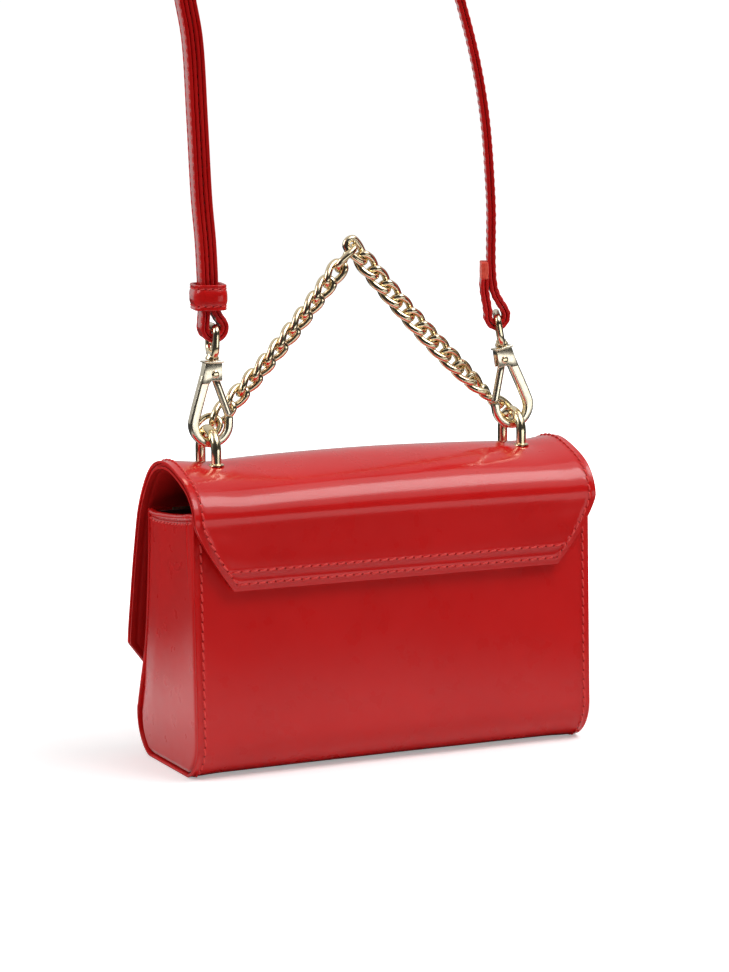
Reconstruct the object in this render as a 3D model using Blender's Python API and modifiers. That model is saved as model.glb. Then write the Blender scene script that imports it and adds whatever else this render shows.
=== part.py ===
"""Small structured flap bag with a chain handle and a clip-on shoulder strap.

Metres, +Z up. The origin is the centre of the base; the front, which the flap closes over,
faces -Y, the back faces +Y, and the left clip is the one at +X.

The bag is a wrapped panel (front, base and back) between two gussets, stiffened by boards
and lined. Its flap turns over the top from the back and carries two staples. The chain hangs
on the staples, and so do the two swivel clips of the strap.
"""

import math

import bmesh
import bpy
from mathutils import Matrix, Vector

MM = 0.001
GAP = 0.3 * MM

# Bag body
BAG_WIDTH = 200 * MM
HALF_WIDTH = BAG_WIDTH / 2
FRONT_HEIGHT = 117 * MM
BACK_HEIGHT = 121.5 * MM
CORNER_RADIUS = 19 * MM
FRONT_CORNER_Y = -20 * MM
BACK_CORNER_Y = 18 * MM
FRONT_WAIST = 24.5 * MM  # half depth at the top of the front
FRONT_FLARE = 14.5 * MM  # what the front gains towards the base
FLARE_POWER = 1.7
BACK_LEAN = 2.5 * MM  # what the back loses towards its top edge

# Layers of a wall, from the outside in
SKIN = 1.4 * MM
BOARD = 1.0 * MM
LINING = 0.8 * MM
BOARD_DEPTH = SKIN + GAP
LINING_DEPTH = BOARD_DEPTH + BOARD + GAP

# Gussets
GUSSET_FACE = 99 * MM
GUSSET_SEAM = 10 * MM  # the part that is turned in under the wrapped panel
GUSSET_TOP = ((30.5, 122.5), (17, 120.4), (4.7, 119), (-8, 118), (-20.5, 118.3))
LINING_HEIGHT = 117 * MM

# Flap: points of its outer face, from its seam on the back over the dome to its front edge
FLAP_TAIL = ((38.9, 86.6), (40.1, 97), (40.8, 105), (41, 110.4))
FLAP_LIFT = (41 * MM, 111 * MM)  # the bend that the flap opens about
FLAP_OUTLINE = (
    (41, 111.6),
    (40.3, 122),
    (33.6, 131.4),
    (18, 138.6),
    (2, 141.5),
    (-14, 137.2),
    (-29.5, 119.5),
    (-37.4, 97),
    (-43.8, 71),
    (-48, 50),
    (-48, 24),
)
FLAP_SKIN = 1.3 * MM
FLAP_BOARD = 1.0 * MM
FLAP_LINING = 1.0 * MM
FLAP_BOARD_DEPTH = FLAP_SKIN + GAP
FLAP_LINING_DEPTH = FLAP_BOARD_DEPTH + FLAP_BOARD + GAP
FLAP_THICKNESS = FLAP_LINING_DEPTH + FLAP_LINING
TAIL_THICKNESS = 3.3 * MM
BACK_CHAMFER = ((118 * MM, 101 * MM), (86.6 * MM, 82 * MM))  # height, half width
FRONT_CHAMFER = ((50 * MM, 101 * MM), (24 * MM, 81 * MM))

# Magnetic snap between the flap and the front
SNAP_HEIGHT = 37 * MM
SNAP_RADIUS = 7 * MM
SNAP_SOCKET = 3.2 * MM
SNAP_STUD = 3.2 * MM
WASHER_THICKNESS = 0.7 * MM
WASHER_RADIUS = 5.5 * MM

# Staples on the crest of the dome
STAPLE_X = 78 * MM
STAPLE_WIRE = 2.35 * MM
STAPLE_ARCH = 9.55 * MM
STAPLE_CENTRE = Vector((0, 145.6 * MM))  # the arch's centre, in Y and Z
STAPLE_FOOT = 128.4 * MM
STAPLE_HOLE = 2.7 * MM
COLLAR_RADIUS = 3.6 * MM
COLLAR_LOW = 141.9 * MM
COLLAR_HEIGHT = 1.2 * MM
RIVETED_HEAD = 2.0 * MM
PLATE_HALF_WIDTH = 7 * MM
PLATE_HALF_LENGTH = 16 * MM
PLATE_THICKNESS = 1.0 * MM

# Chain: twisted oval links on a path that leans towards the front
LEFT_LINKS = 12
RIGHT_LINKS = 13
LINK_WIRE = 1.4 * MM
LINK_HALF_LENGTH = 6.35 * MM
LINK_HALF_WIDTH = 4.0 * MM
END_HALF_WIDTH = 4.7 * MM
LINK_SEGMENTS = 14
LINK_TWIST = math.radians(47)  # of each end of a link from the middle of it
TURNING_LINKS = 5  # links over which the chain turns to meet each staple
CHAIN_LEAN = math.radians(30)  # where the end link sits on the staple's arch
APEX_PLACE = Vector((0, -10 * MM, 235 * MM))  # the top end of the left half's last link
CHAIN_SAG = 4 * MM
CHAIN_STEPS = 20

# Swivel clips: u points away from the bag's middle, w up, from the bottom of the hook
CLIP_Y = 3.1 * MM
CLIP_FOOT = 149.1 * MM
CLIP_LEAN = {"left": math.radians(1.8), "right": math.radians(10.5)}
HOOK_WIRE = 2.2 * MM
HOOK_BEND = 8.6 * MM
HOOK_TIP = 12.5 * MM
HOOK_BAR_TOP = (3.2 * MM, 31.9 * MM)
CAP_LOW = 28 * MM
CAP_HIGH = 37.8 * MM
CAP_HALF_WIDTH = 5.3 * MM
CAP_THICKNESS = 5.6 * MM
SLOT_WIDTH = 2.8 * MM
SLOT_TOP = 34.5 * MM
SLOT_END = 2.4 * MM
RIVET = (-0.8 * MM, 31.7 * MM)
RIVET_RADIUS = 1.0 * MM
RIVET_HEAD = 1.65 * MM
RIVET_HEAD_HEIGHT = 0.6 * MM
GATE_END = (-8.4 * MM, 13.4 * MM)
GATE_HEAD = 2.6 * MM
GATE_HALF_WIDTH = 1.8 * MM
GATE_THICKNESS = 2.2 * MM
EYE_WIRE = 1.65 * MM
EYE_HALF_WIDTH = 9.8 * MM
EYE_LOW = 40.6 * MM
EYE_BAR = 53.2 * MM
EYE_TOP_RADIUS = 3.0 * MM
EYE_LOW_RADIUS = 4.5 * MM
POST_RADIUS = 1.2 * MM
POST_HEAD = 2.0 * MM
POST_HEAD_HEIGHT = 1.0 * MM
POST_FOOT = 35 * MM
POST_SHOULDER = 3.0 * MM
POST_NECK = 2.4 * MM
SEAT_LOW = 33.6 * MM
SEAT_STEP = 2.8 * MM
SPRING_FACES = (SLOT_END - 0.45 * MM, SLOT_END - 0.2 * MM)
SPRING_LOW = CAP_LOW + 0.6 * MM
SPRING_HALF_WIDTH = 0.8 * MM

# Strap: two plies, wide across Y, turned a little about Z
STRAP_WIDTH = 15 * MM
PLY = 1.65 * MM
PLY_GAP = 0.3 * MM
STRAP_THICKNESS = 2 * PLY + PLY_GAP
LOOP_RADIUS = 4.8 * MM  # middle of the strap round an eye
STRAP_TWIST = {"left": math.radians(12.5), "right": math.radians(25)}
RUN_OFFSET = 2.15 * MM  # of each of the two runs on the left from the line between them
# The line between the two left runs, then the arch, then the single right run, in X and Z
LEFT_RUN = ((78.2, 211), (78.6, 226), (79.3, 241.5), (80.8, 259.5), (82.4, 295.5), (84.3, 331.5))
LEFT_TOP = ((87.3, 348.5), (90.6, 366), (91.6, 378))
ARCH = ((92.4, 388), (89, 405), (79, 422), (62, 434), (38, 439), (11, 434), (-12, 418), (-30, 395))
RIGHT_RUN = ((-42, 370), (-49.3, 348.5), (-57, 321.5), (-62.2, 293.5), (-65.3, 255), (-66.6, 214))
TAIL_STEP = 4.9 * MM  # of the strap's end from the right run beside it
TAIL_TOP = 219 * MM
TAB_TOP = 227 * MM
STUD_HEIGHT = 366 * MM
STUD_RADIUS = 2.0 * MM
STUD_HEAD_RADIUS = 3.8 * MM
STUD_HEAD = 1.2 * MM
KEEPER_LOW = 210.2 * MM
KEEPER_HEIGHT = 11.6 * MM
KEEPER_INSIDE = (11.6 * MM, 17.6 * MM)
KEEPER_CORNER = 3 * MM
KEEPER_WALL = 1.7 * MM

SIDES = {"left": 1, "right": -1}


# ---------------------------------------------------------------- scene and materials


def clear_scene():
    for obj in list(bpy.data.objects):
        bpy.data.objects.remove(obj)


def new_collection(name):
    collection = bpy.data.collections.new(name)
    bpy.context.scene.collection.children.link(collection)
    return collection


def new_material(name, color, roughness, metallic=0.0):
    material = bpy.data.materials.new(name)
    material.use_nodes = True
    shader = material.node_tree.nodes["Principled BSDF"]
    shader.inputs["Base Color"].default_value = (*color, 1)
    shader.inputs["Roughness"].default_value = roughness
    shader.inputs["Metallic"].default_value = metallic
    return material


def make_materials():
    return {
        "leather": new_material("red_leather", (0.52, 0.010, 0.012), 0.18),
        "raw": new_material("raw_edge", (0.80, 0.10, 0.07), 0.6),
        "board": new_material("board", (0.36, 0.27, 0.18), 0.9),
        "lining": new_material("lining_cloth", (0.10, 0.012, 0.014), 0.8),
        "gold": new_material("pale_gold", (0.80, 0.66, 0.40), 0.16, 1.0),
        "steel": new_material("steel", (0.60, 0.60, 0.60), 0.3, 1.0),
    }


# ---------------------------------------------------------------- shape helpers


def metres(points):
    """Points given in millimetres, as vectors in metres."""
    return [Vector(p) * MM for p in points]


def smooth_curve(points, steps):
    """A centripetal Catmull-Rom curve through the points, in steps spans between neighbours."""
    padded = [2 * points[0] - points[1]] + list(points) + [2 * points[-1] - points[-2]]
    curve = []
    for a, b, c, d in zip(padded, padded[1:], padded[2:], padded[3:]):
        at_b = math.sqrt((b - a).length)
        at_c = at_b + math.sqrt((c - b).length)
        at_d = at_c + math.sqrt((d - c).length)
        for i in range(steps):
            t = at_b + (at_c - at_b) * i / steps
            middle = b.lerp(c, (t - at_b) / (at_c - at_b))
            low = a.lerp(b, t / at_b).lerp(middle, t / at_c)
            high = middle.lerp(c.lerp(d, (t - at_c) / (at_d - at_c)), (t - at_b) / (at_d - at_b))
            curve.append(low.lerp(high, (t - at_b) / (at_c - at_b)))
    return curve + [points[-1]]


def arc(centre, radius, start, end, steps):
    """Points of a circular arc from start to end, in degrees."""
    angles = [math.radians(start + (end - start) * i / steps) for i in range(steps + 1)]
    return [Vector(centre) + radius * Vector((math.cos(a), math.sin(a))) for a in angles]


def inset(path, distance):
    """A (y, z) path moved to its inner side, which is on the left of its direction seen from -X."""
    moved = []
    for i, point in enumerate(path):
        before = path[i] - path[i - 1] if i else path[1] - path[0]
        after = path[i + 1] - point if i + 1 < len(path) else before
        normals = [Vector((d.y, -d.x)).normalized() for d in (before, after)]
        middle = (normals[0] + normals[1]).normalized()
        moved.append(point - middle * distance / middle.dot(normals[0]))
    return moved


def rows_across(path, half_width):
    """One row of two points for each (y, z) of the path, at plus and minus half_width(z)."""
    return [[(-half_width(p.y), p.x, p.y), (half_width(p.y), p.x, p.y)] for p in path]


def add_object(name, mesh, material):
    mesh.materials.append(material)
    obj = bpy.data.objects.new(name, mesh)
    bpy.context.scene.collection.objects.link(obj)
    return obj


def shade_round(obj, degrees=35):
    obj.data.shade_smooth()
    obj.data.set_sharp_from_angle(angle=math.radians(degrees))
    return obj


def surface_mesh(name, rows, closed=False):
    """A grid of quads over rows of points; closed joins the last row to the first."""
    bm = bmesh.new()
    grid = [[bm.verts.new(p) for p in row] for row in rows]
    following = grid[1:] + grid[:1] if closed else grid[1:]
    for low, high in zip(grid, following):
        for i in range(len(low) - 1):
            bm.faces.new((low[i], high[i], high[i + 1], low[i + 1]))
    mesh = bpy.data.meshes.new(name)
    bm.to_mesh(mesh)
    bm.free()
    return mesh


def thicken(obj, thickness, offset=-1):
    """Solidify: offset -1 keeps the surface as the outer face, 0 as the middle."""
    modifier = obj.modifiers.new("thickness", "SOLIDIFY")
    modifier.thickness = thickness
    modifier.offset = offset
    modifier.use_even_offset = True
    return obj


def sheet(name, rows, thickness, material, offset=-1, closed=False):
    return thicken(add_object(name, surface_mesh(name, rows, closed), material), thickness, offset)


def frozen(obj):
    """The object as a plain mesh, with its modifiers or its curve's bevel applied and caps welded."""
    graph = bpy.context.evaluated_depsgraph_get()
    mesh = bpy.data.meshes.new_from_object(obj.evaluated_get(graph))
    bm = bmesh.new()
    bm.from_mesh(mesh)
    bmesh.ops.remove_doubles(bm, verts=bm.verts, dist=0.00001)
    bm.to_mesh(mesh)
    bm.free()
    result = bpy.data.objects.new(obj.name, mesh)
    result.matrix_world = obj.matrix_world
    bpy.context.scene.collection.objects.link(result)
    name = obj.name
    bpy.data.objects.remove(obj)
    result.name = name
    return result


def tube(name, points, radius, material, closed=False, sides=8):
    """A round wire along the points."""
    curve = bpy.data.curves.new(name, "CURVE")
    curve.dimensions = "3D"
    curve.bevel_depth = radius
    curve.bevel_resolution = sides // 2 - 2
    curve.use_fill_caps = True
    spline = curve.splines.new("POLY")
    spline.points.add(len(points) - 1)
    for knot, point in zip(spline.points, points):
        knot.co = (*point, 1)
    spline.use_cyclic_u = closed
    curve.materials.append(material)
    obj = bpy.data.objects.new(name, curve)
    bpy.context.scene.collection.objects.link(obj)
    return shade_round(frozen(obj))


def turned(name, profile, place, material, steps=12):
    """A profile of (radius, height) points, from axis to axis, turned about the local Z of place."""
    mesh = bpy.data.meshes.new(name)
    points = [(r, 0, h) for r, h in profile]
    mesh.from_pydata(points, [(i, i + 1) for i in range(len(points) - 1)], [])
    obj = add_object(name, mesh, material)
    screw = obj.modifiers.new("turn", "SCREW")
    screw.steps = steps
    screw.render_steps = steps
    screw.use_merge_vertices = True
    screw.merge_threshold = 0.00001
    obj.matrix_world = place
    bpy.context.view_layer.update()
    obj = frozen(obj)
    bm = bmesh.new()
    bm.from_mesh(obj.data)
    bmesh.ops.recalc_face_normals(bm, faces=bm.faces)
    bm.to_mesh(obj.data)
    bm.free()
    return shade_round(obj)


def disc(name, radius, height, place, material, steps=24):
    """A round plate on the local XY plane of place."""
    return turned(name, ((0, 0), (radius, 0), (radius, height), (0, height)), place, material, steps)


def plate(name, outline, thickness, place, material):
    """A flat outline of (u, w) points, thickened both ways from the plane of place."""
    bm = bmesh.new()
    bm.faces.new([bm.verts.new((p[0], p[1], -thickness / 2)) for p in outline])
    made = bmesh.ops.extrude_face_region(bm, geom=bm.faces[:])
    verts = [v for v in made["geom"] if isinstance(v, bmesh.types.BMVert)]
    bmesh.ops.translate(bm, verts=verts, vec=(0, 0, thickness))
    bmesh.ops.recalc_face_normals(bm, faces=bm.faces)
    mesh = bpy.data.meshes.new(name)
    bm.to_mesh(mesh)
    bm.free()
    obj = add_object(name, mesh, material)
    obj.matrix_world = place
    bpy.context.view_layer.update()
    return obj


def combine(obj, other, operation):
    """Boolean of obj with other, applied; other is used up."""
    modifier = obj.modifiers.new("join", "BOOLEAN")
    modifier.operation = operation
    modifier.object = other
    bpy.context.view_layer.update()
    result = frozen(obj)
    bpy.data.objects.remove(other)
    return result


def cut(obj, cutter):
    return combine(obj, cutter, "DIFFERENCE")


def union(obj, other):
    return combine(obj, other, "UNION")


def bore(obj, radius, places, length, steps=12):
    """Round holes through obj, along the local Z axis of each place and centred on it."""
    for place in places:
        shifted = place @ Matrix.Translation((0, 0, -length / 2))
        obj = cut(obj, disc("bore", radius, length, shifted, obj.active_material, steps))
    return obj


def put_origin(obj, point):
    """Moves the object's origin to a point on its joint's axis, and leaves its shape in place."""
    obj.data.transform(Matrix.Translation(-Vector(point)) @ obj.matrix_world)
    obj.matrix_world = Matrix.Translation(point)
    return obj


def facing(point, direction):
    """A matrix whose local Z axis points along direction from point."""
    turn = Vector((0, 0, 1)).rotation_difference(Vector(direction)).to_matrix().to_4x4()
    return Matrix.Translation(point) @ turn


# ---------------------------------------------------------------- bag body


def front_y(z):
    share = 1 - (z - CORNER_RADIUS) / (FRONT_HEIGHT - CORNER_RADIUS)
    return -(FRONT_WAIST + FRONT_FLARE * max(share, 0) ** FLARE_POWER)


def wall_path():
    """Outer face of front, base and back, in Y and Z, from the front's top edge round to the back's."""
    heights = [FRONT_HEIGHT + (CORNER_RADIUS + 3 * MM - FRONT_HEIGHT) * i / 6 for i in range(7)]
    front = [Vector((front_y(z), z)) for z in heights]
    low_front = arc((FRONT_CORNER_Y, CORNER_RADIUS), CORNER_RADIUS, 173, 270, 6)
    low_back = arc((BACK_CORNER_Y, CORNER_RADIUS), CORNER_RADIUS, 270, 360, 6)
    top = BACK_CORNER_Y + CORNER_RADIUS - BACK_LEAN
    return front + low_front + low_back + [Vector((top, BACK_HEIGHT))]


def flat_width(half_width):
    return lambda z: half_width


def make_wrap_panel(paint):
    return sheet("wrap_panel", rows_across(wall_path(), flat_width(HALF_WIDTH)), SKIN, paint["leather"])


def pan_mesh(name, path, top, rim, face):
    """A flat side at x = face bounded by the path and the top edge, with a flange back to x = rim."""
    mesh = surface_mesh(name, [[(rim, p.x, p.y), (face, p.x, p.y)] for p in path])
    bm = bmesh.new()
    bm.from_mesh(mesh)
    side = [v for v in bm.verts if abs(v.co.x - face) < GAP / 10]
    corners = [bm.verts.new((face, p.x, p.y)) for p in top]
    bm.faces.new(side + corners)
    bm.to_mesh(mesh)
    bm.free()
    return mesh


def mirrored(obj, name):
    """The same piece on the other side of the bag's middle plane."""
    mesh = obj.data.copy()
    mesh.transform(Matrix.Scale(-1, 4, (1, 0, 0)))
    mesh.flip_normals()
    twin = bpy.data.objects.new(name, mesh)
    bpy.context.scene.collection.objects.link(twin)
    return twin


def make_gussets(paint):
    path = inset(wall_path(), BOARD_DEPTH)
    mesh = pan_mesh("gusset_left", path, metres(GUSSET_TOP), GUSSET_FACE - GUSSET_SEAM, GUSSET_FACE)
    left = add_object("gusset_left", mesh, paint["leather"])
    thicken(left, BOARD)
    thicken(mirrored(left, "gusset_right"), BOARD)


def board_rows(low_index, high_index):
    """Rows of the stretch of wall between two points of the wall path, one layer in."""
    path = inset(wall_path(), BOARD_DEPTH)[low_index:high_index]
    return rows_across(path, flat_width(GUSSET_FACE - GUSSET_SEAM - 2 * MM))


def make_boards(paint):
    front = sheet("front_board", board_rows(0, 7), BOARD, paint["board"])
    bore(frozen(front), SNAP_RADIUS + GAP, [front_place()], 12 * MM, 24)
    sheet("base_board", board_rows(12, 16), BOARD, paint["board"])
    sheet("back_board", board_rows(19, 21), BOARD, paint["board"])


def make_lining(paint):
    """An open box of cloth inside the boards and the gussets."""
    path = inset(wall_path(), LINING_DEPTH)
    path[0].y = LINING_HEIGHT
    path[-1].y = LINING_HEIGHT
    half = GUSSET_FACE - BOARD - GAP
    mesh = surface_mesh("lining", rows_across(path, flat_width(half)))
    bm = bmesh.new()
    bm.from_mesh(mesh)
    bm.faces.new([v for v in bm.verts if v.co.x > 0])
    bm.faces.new([v for v in reversed(bm.verts[:]) if v.co.x < 0])
    bm.to_mesh(mesh)
    bm.free()
    thicken(add_object("lining", mesh, paint["lining"]), LINING)


# ---------------------------------------------------------------- flap


def flap_half_width(z):
    """Half width of the flap below its dome on the back, where its corners are cut off."""
    (high, wide), (low, narrow) = BACK_CHAMFER
    share = min(max((high - z) / (high - low), 0), 1)
    return wide + (narrow - wide) * share**1.3


def front_half_width(z):
    (high, wide), (low, narrow) = FRONT_CHAMFER
    return wide + (narrow - wide) * min(max((high - z) / (high - low), 0), 1)


def flap_path():
    return smooth_curve(metres(FLAP_OUTLINE), 3)


def flap_rows(depth, margin, start=0, end=None):
    """Rows of one layer of the flap, margin short of its edges; the back's cut corners come first."""
    path = inset(flap_path(), depth)
    rows = []
    for i, point in enumerate(path):
        width = flap_half_width(point.y) if point.x > 0 else front_half_width(point.y)
        rows.append([(-width + margin, point.x, point.y), (width - margin, point.x, point.y)])
    return rows[start:end]


def front_place():
    """The snap's place on the outer face of the front, with local Z pointing out of the bag."""
    rise = (front_y(SNAP_HEIGHT + MM) - front_y(SNAP_HEIGHT - MM)) / (2 * MM)
    return facing((0, front_y(SNAP_HEIGHT), SNAP_HEIGHT), (0, -1, rise))


def flap_place():
    """The snap's place on the outer face of the closed flap."""
    return facing((0, FLAP_OUTLINE[-1][0] * MM, SNAP_HEIGHT), (0, -1, 0))


def staple_places():
    """The legs of both staples where they cross the flap, with local Z up."""
    feet = staple_feet("left") + staple_feet("right")
    return [Matrix.Translation((x, y, STAPLE_CENTRE.y - STAPLE_ARCH)) for x, y in feet]


def make_flap(paint):
    tail = smooth_curve(metres(FLAP_TAIL), 2)
    sheet("flap_tail", rows_across(tail, flap_half_width), TAIL_THICKNESS, paint["leather"])
    skin = sheet("flap_skin", flap_rows(0, 0), FLAP_SKIN, paint["leather"])
    board = sheet("flap_board", flap_rows(FLAP_BOARD_DEPTH, 4 * MM, 2, -1), FLAP_BOARD, paint["board"])
    lining = sheet("flap_lining", flap_rows(FLAP_LINING_DEPTH, 0), FLAP_LINING, paint["leather"])
    board = bore(frozen(board), SNAP_RADIUS + GAP, [flap_place()], 12 * MM, 24)
    for layer in (frozen(skin), board, frozen(lining)):
        put_origin(bore(layer, STAPLE_HOLE, staple_places(), 40 * MM, 10), (0, *FLAP_LIFT))


def along_axis(place, distance):
    return place @ Matrix.Translation((0, 0, distance))


def make_snap(paint):
    """A magnetic snap: a socket on the front, a stud on the flap, and a washer behind each."""
    steel = paint["steel"]
    front = front_place()
    flap = flap_place()
    rest = (BOARD - WASHER_THICKNESS) / 2
    disc("snap_socket", SNAP_RADIUS, SNAP_SOCKET, along_axis(front, 1.5 * GAP), steel)
    behind = BOARD_DEPTH + BOARD - rest
    disc("snap_socket_washer", WASHER_RADIUS, WASHER_THICKNESS, along_axis(front, -behind), steel)
    inner = FLAP_THICKNESS + GAP + SNAP_STUD
    stud = disc("snap_stud", SNAP_RADIUS, SNAP_STUD, along_axis(flap, -inner), steel)
    behind = FLAP_BOARD_DEPTH + BOARD - rest
    washer = disc("snap_stud_washer", WASHER_RADIUS, WASHER_THICKNESS, along_axis(flap, -behind), steel)
    for piece in (stud, washer):
        put_origin(piece, (0, *FLAP_LIFT))


# ---------------------------------------------------------------- staples


def staple_feet(side):
    """Where the two legs of a staple stand, in X and Y."""
    return [(SIDES[side] * STAPLE_X, foot) for foot in (STAPLE_ARCH, -STAPLE_ARCH)]


def make_staple(side, paint):
    """A round-wire arch with a collar on each leg above the leather and a riveted head below."""
    bend = arc(STAPLE_CENTRE, STAPLE_ARCH, 0, 180, 10)
    foot = STAPLE_FOOT + RIVETED_HEAD / 2
    path = [Vector((STAPLE_ARCH, foot))] + bend + [Vector((-STAPLE_ARCH, foot))]
    middle = [(SIDES[side] * STAPLE_X, p.x, p.y) for p in path]
    staple = tube(f"staple_{side}", middle, STAPLE_WIRE, paint["gold"])
    for x, y in staple_feet(side):
        collar = Matrix.Translation((x, y, COLLAR_LOW))
        head = Matrix.Translation((x, y, STAPLE_FOOT))
        staple = union(staple, disc("collar", COLLAR_RADIUS, COLLAR_HEIGHT, collar, paint["gold"], 16))
        staple = union(staple, disc("head", COLLAR_RADIUS, RIVETED_HEAD, head, paint["gold"], 16))
    put_origin(shade_round(staple), (0, *FLAP_LIFT))


def make_staple_plate(side, paint):
    """A plate under the dome, bent to its curve, that both legs are riveted over."""
    dome = [p for p in inset(flap_path(), FLAP_THICKNESS + GAP) if p.y > LINING_HEIGHT]
    path = [p for p in dome if abs(p.x) < PLATE_HALF_LENGTH]
    x = SIDES[side] * STAPLE_X
    rows = [[(x - PLATE_HALF_WIDTH, p.x, p.y), (x + PLATE_HALF_WIDTH, p.x, p.y)] for p in path]
    backing = frozen(sheet(f"staple_plate_{side}", rows, PLATE_THICKNESS, paint["steel"]))
    near = [place for place in staple_places() if place.translation.x * x > 0]
    put_origin(bore(backing, STAPLE_HOLE, near, 40 * MM, 10), (0, *FLAP_LIFT))


# ---------------------------------------------------------------- chain


def chain_anchor(side):
    """The point of the arch's wire that the end link goes round."""
    y = STAPLE_CENTRE.x - STAPLE_ARCH * math.sin(CHAIN_LEAN)
    z = STAPLE_CENTRE.y + STAPLE_ARCH * math.cos(CHAIN_LEAN)
    return Vector((side * STAPLE_X, y, z))


def chain_run(side):
    """One half of the chain's middle line, from its staple up to the top."""
    anchor = chain_anchor(side)
    run = []
    for i in range(CHAIN_STEPS + 1):
        t = i / CHAIN_STEPS
        point = anchor.lerp(APEX_PLACE, t)
        point.z -= CHAIN_SAG * 4 * t * (1 - t)
        run.append(point)
    return run


def point_along(path, distance):
    for a, b in zip(path, path[1:]):
        step = (b - a).length
        if distance <= step:
            return a.lerp(b, distance / step)
        distance -= step
    return path[-1]


def run_places(side, count, top):
    """(centre, direction) of each link of one half, up to a last centre at top from the run's end."""
    run = chain_run(side)
    first = LINK_HALF_LENGTH - STAPLE_WIRE - LINK_WIRE - GAP
    length = sum((b - a).length for a, b in zip(run, run[1:]))
    places = []
    for i in range(count):
        distance = first + (length - top - first) * i / (count - 1)
        ahead = point_along(run, distance + MM) - point_along(run, distance - MM)
        places.append((point_along(run, distance), ahead.normalized()))
    return places


def link_places():
    """(centre, direction) of each link from the left staple over the top to the right one.

    The left half's last link has its end at the top, and the right half's last link goes round it.
    """
    left = run_places(1, LEFT_LINKS, LINK_HALF_LENGTH)
    right = run_places(-1, RIGHT_LINKS, LINK_HALF_LENGTH - LINK_HALF_WIDTH)
    return left + [(centre, -direction) for centre, direction in right[::-1]]


def chain_axes(direction):
    """Two axes square to the chain: across it in the XZ plane, and the way it faces."""
    across = Vector((0, 1, 0)).cross(direction).normalized()
    return across, direction.cross(across)


def link_points(centre, direction, half_width, start, end):
    """Middle line of one oval link, its plane turned from the roll start at one end to the roll end."""
    across, facing_way = chain_axes(direction)
    straight = LINK_HALF_LENGTH - half_width
    points = []
    for i in range(LINK_SEGMENTS):
        angle = 2 * math.pi * i / LINK_SEGMENTS
        along = straight * math.copysign(1, math.cos(angle)) + half_width * math.cos(angle)
        out = half_width * math.sin(angle)
        turn = start + (end - start) * (1 + along / LINK_HALF_LENGTH) / 2
        sideways = across * math.cos(turn) + facing_way * math.sin(turn)
        points.append(centre + direction * along + sideways * out)
    return points


def end_link_roll(direction):
    """Roll of an end link that lies square to the staple's wire where it goes round it."""
    radial = Vector((0, -math.sin(CHAIN_LEAN), math.cos(CHAIN_LEAN)))
    across, facing_way = chain_axes(direction)
    return math.atan2(radial.dot(facing_way), radial.dot(across))


def half_turn(angle):
    """The same plane's angle between -90 and 90 degrees."""
    return (angle + math.pi / 2) % math.pi - math.pi / 2


def link_rolls(places):
    """Roll of each link's plane at its start and its end.

    Each link is twisted by almost a quarter turn, so that the chain lies flat. The end links are
    not, and the two links at the top meet square.
    """
    first = end_link_roll(places[0][1])
    last = end_link_roll(places[-1][1])
    near = half_turn(first + math.pi / 2 - LINK_TWIST)
    far = half_turn(last + math.pi / 2 + LINK_TWIST)
    twisted = len(places) - 2
    rolls = [[first, first]]
    for number in range(twisted):
        from_near = max(1 - number / TURNING_LINKS, 0)
        from_far = max(1 - (twisted - 1 - number) / TURNING_LINKS, 0)
        roll = near * from_near + far * from_far
        rolls.append([roll + LINK_TWIST, roll - LINK_TWIST])
    rolls.append([last, last])
    rolls[LEFT_LINKS - 1][1] = math.pi / 2
    rolls[LEFT_LINKS][0] = 0
    return rolls


def make_chain(paint):
    """Oval links, each through the next; the first and last go round the staples."""
    places = link_places()
    for number, ((centre, direction), rolls) in enumerate(zip(places, link_rolls(places))):
        half_width = END_HALF_WIDTH if number in (0, len(places) - 1) else LINK_HALF_WIDTH
        ring = link_points(centre, direction, half_width, *rolls)
        link = tube(f"chain_link_{number + 1:02d}", ring, LINK_WIRE, paint["gold"], closed=True)
        put_origin(link, (0, *STAPLE_CENTRE))


# ---------------------------------------------------------------- swivel clips


def clip_frame(side):
    """Local X is u, local Y is w and local Z is the thickness, from the bottom of the hook."""
    sign = SIDES[side]
    lean = CLIP_LEAN[side]
    up = Vector((-sign * math.sin(lean), 0, math.cos(lean)))
    out = Vector((sign * math.cos(lean), 0, math.sin(lean)))
    foot = Vector((sign * STAPLE_X, CLIP_Y, CLIP_FOOT))
    frame = Matrix([out, up, out.cross(up)]).transposed().to_4x4()
    return Matrix.Translation(foot) @ frame


def clip_axis(frame, w):
    """A matrix at height w of the clip's middle line, with local Z along the clip and X across it."""
    turn = Matrix.Rotation(-math.pi / 2, 4, "X")
    return frame @ Matrix.Translation((0, w, 0)) @ turn


def block(name, low, high, frame, material):
    """A box between two corners of a clip's frame."""
    bm = bmesh.new()
    size = [b - a for a, b in zip(low, high)]
    middle = [(a + b) / 2 for a, b in zip(low, high)]
    bmesh.ops.create_cube(bm, size=1, matrix=Matrix.Translation(middle) @ Matrix.Diagonal((*size, 1)))
    mesh = bpy.data.meshes.new(name)
    bm.to_mesh(mesh)
    bm.free()
    obj = add_object(name, mesh, material)
    obj.matrix_world = frame
    bpy.context.view_layer.update()
    return obj


def hook_path():
    """Middle line of the fixed bar and the bend, from inside the cap to the tip."""
    bend = arc((0, HOOK_BEND), HOOK_BEND, 14, -180, 11)
    return [Vector(HOOK_BAR_TOP)] + bend + [Vector((-HOOK_BEND, HOOK_TIP))]


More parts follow.
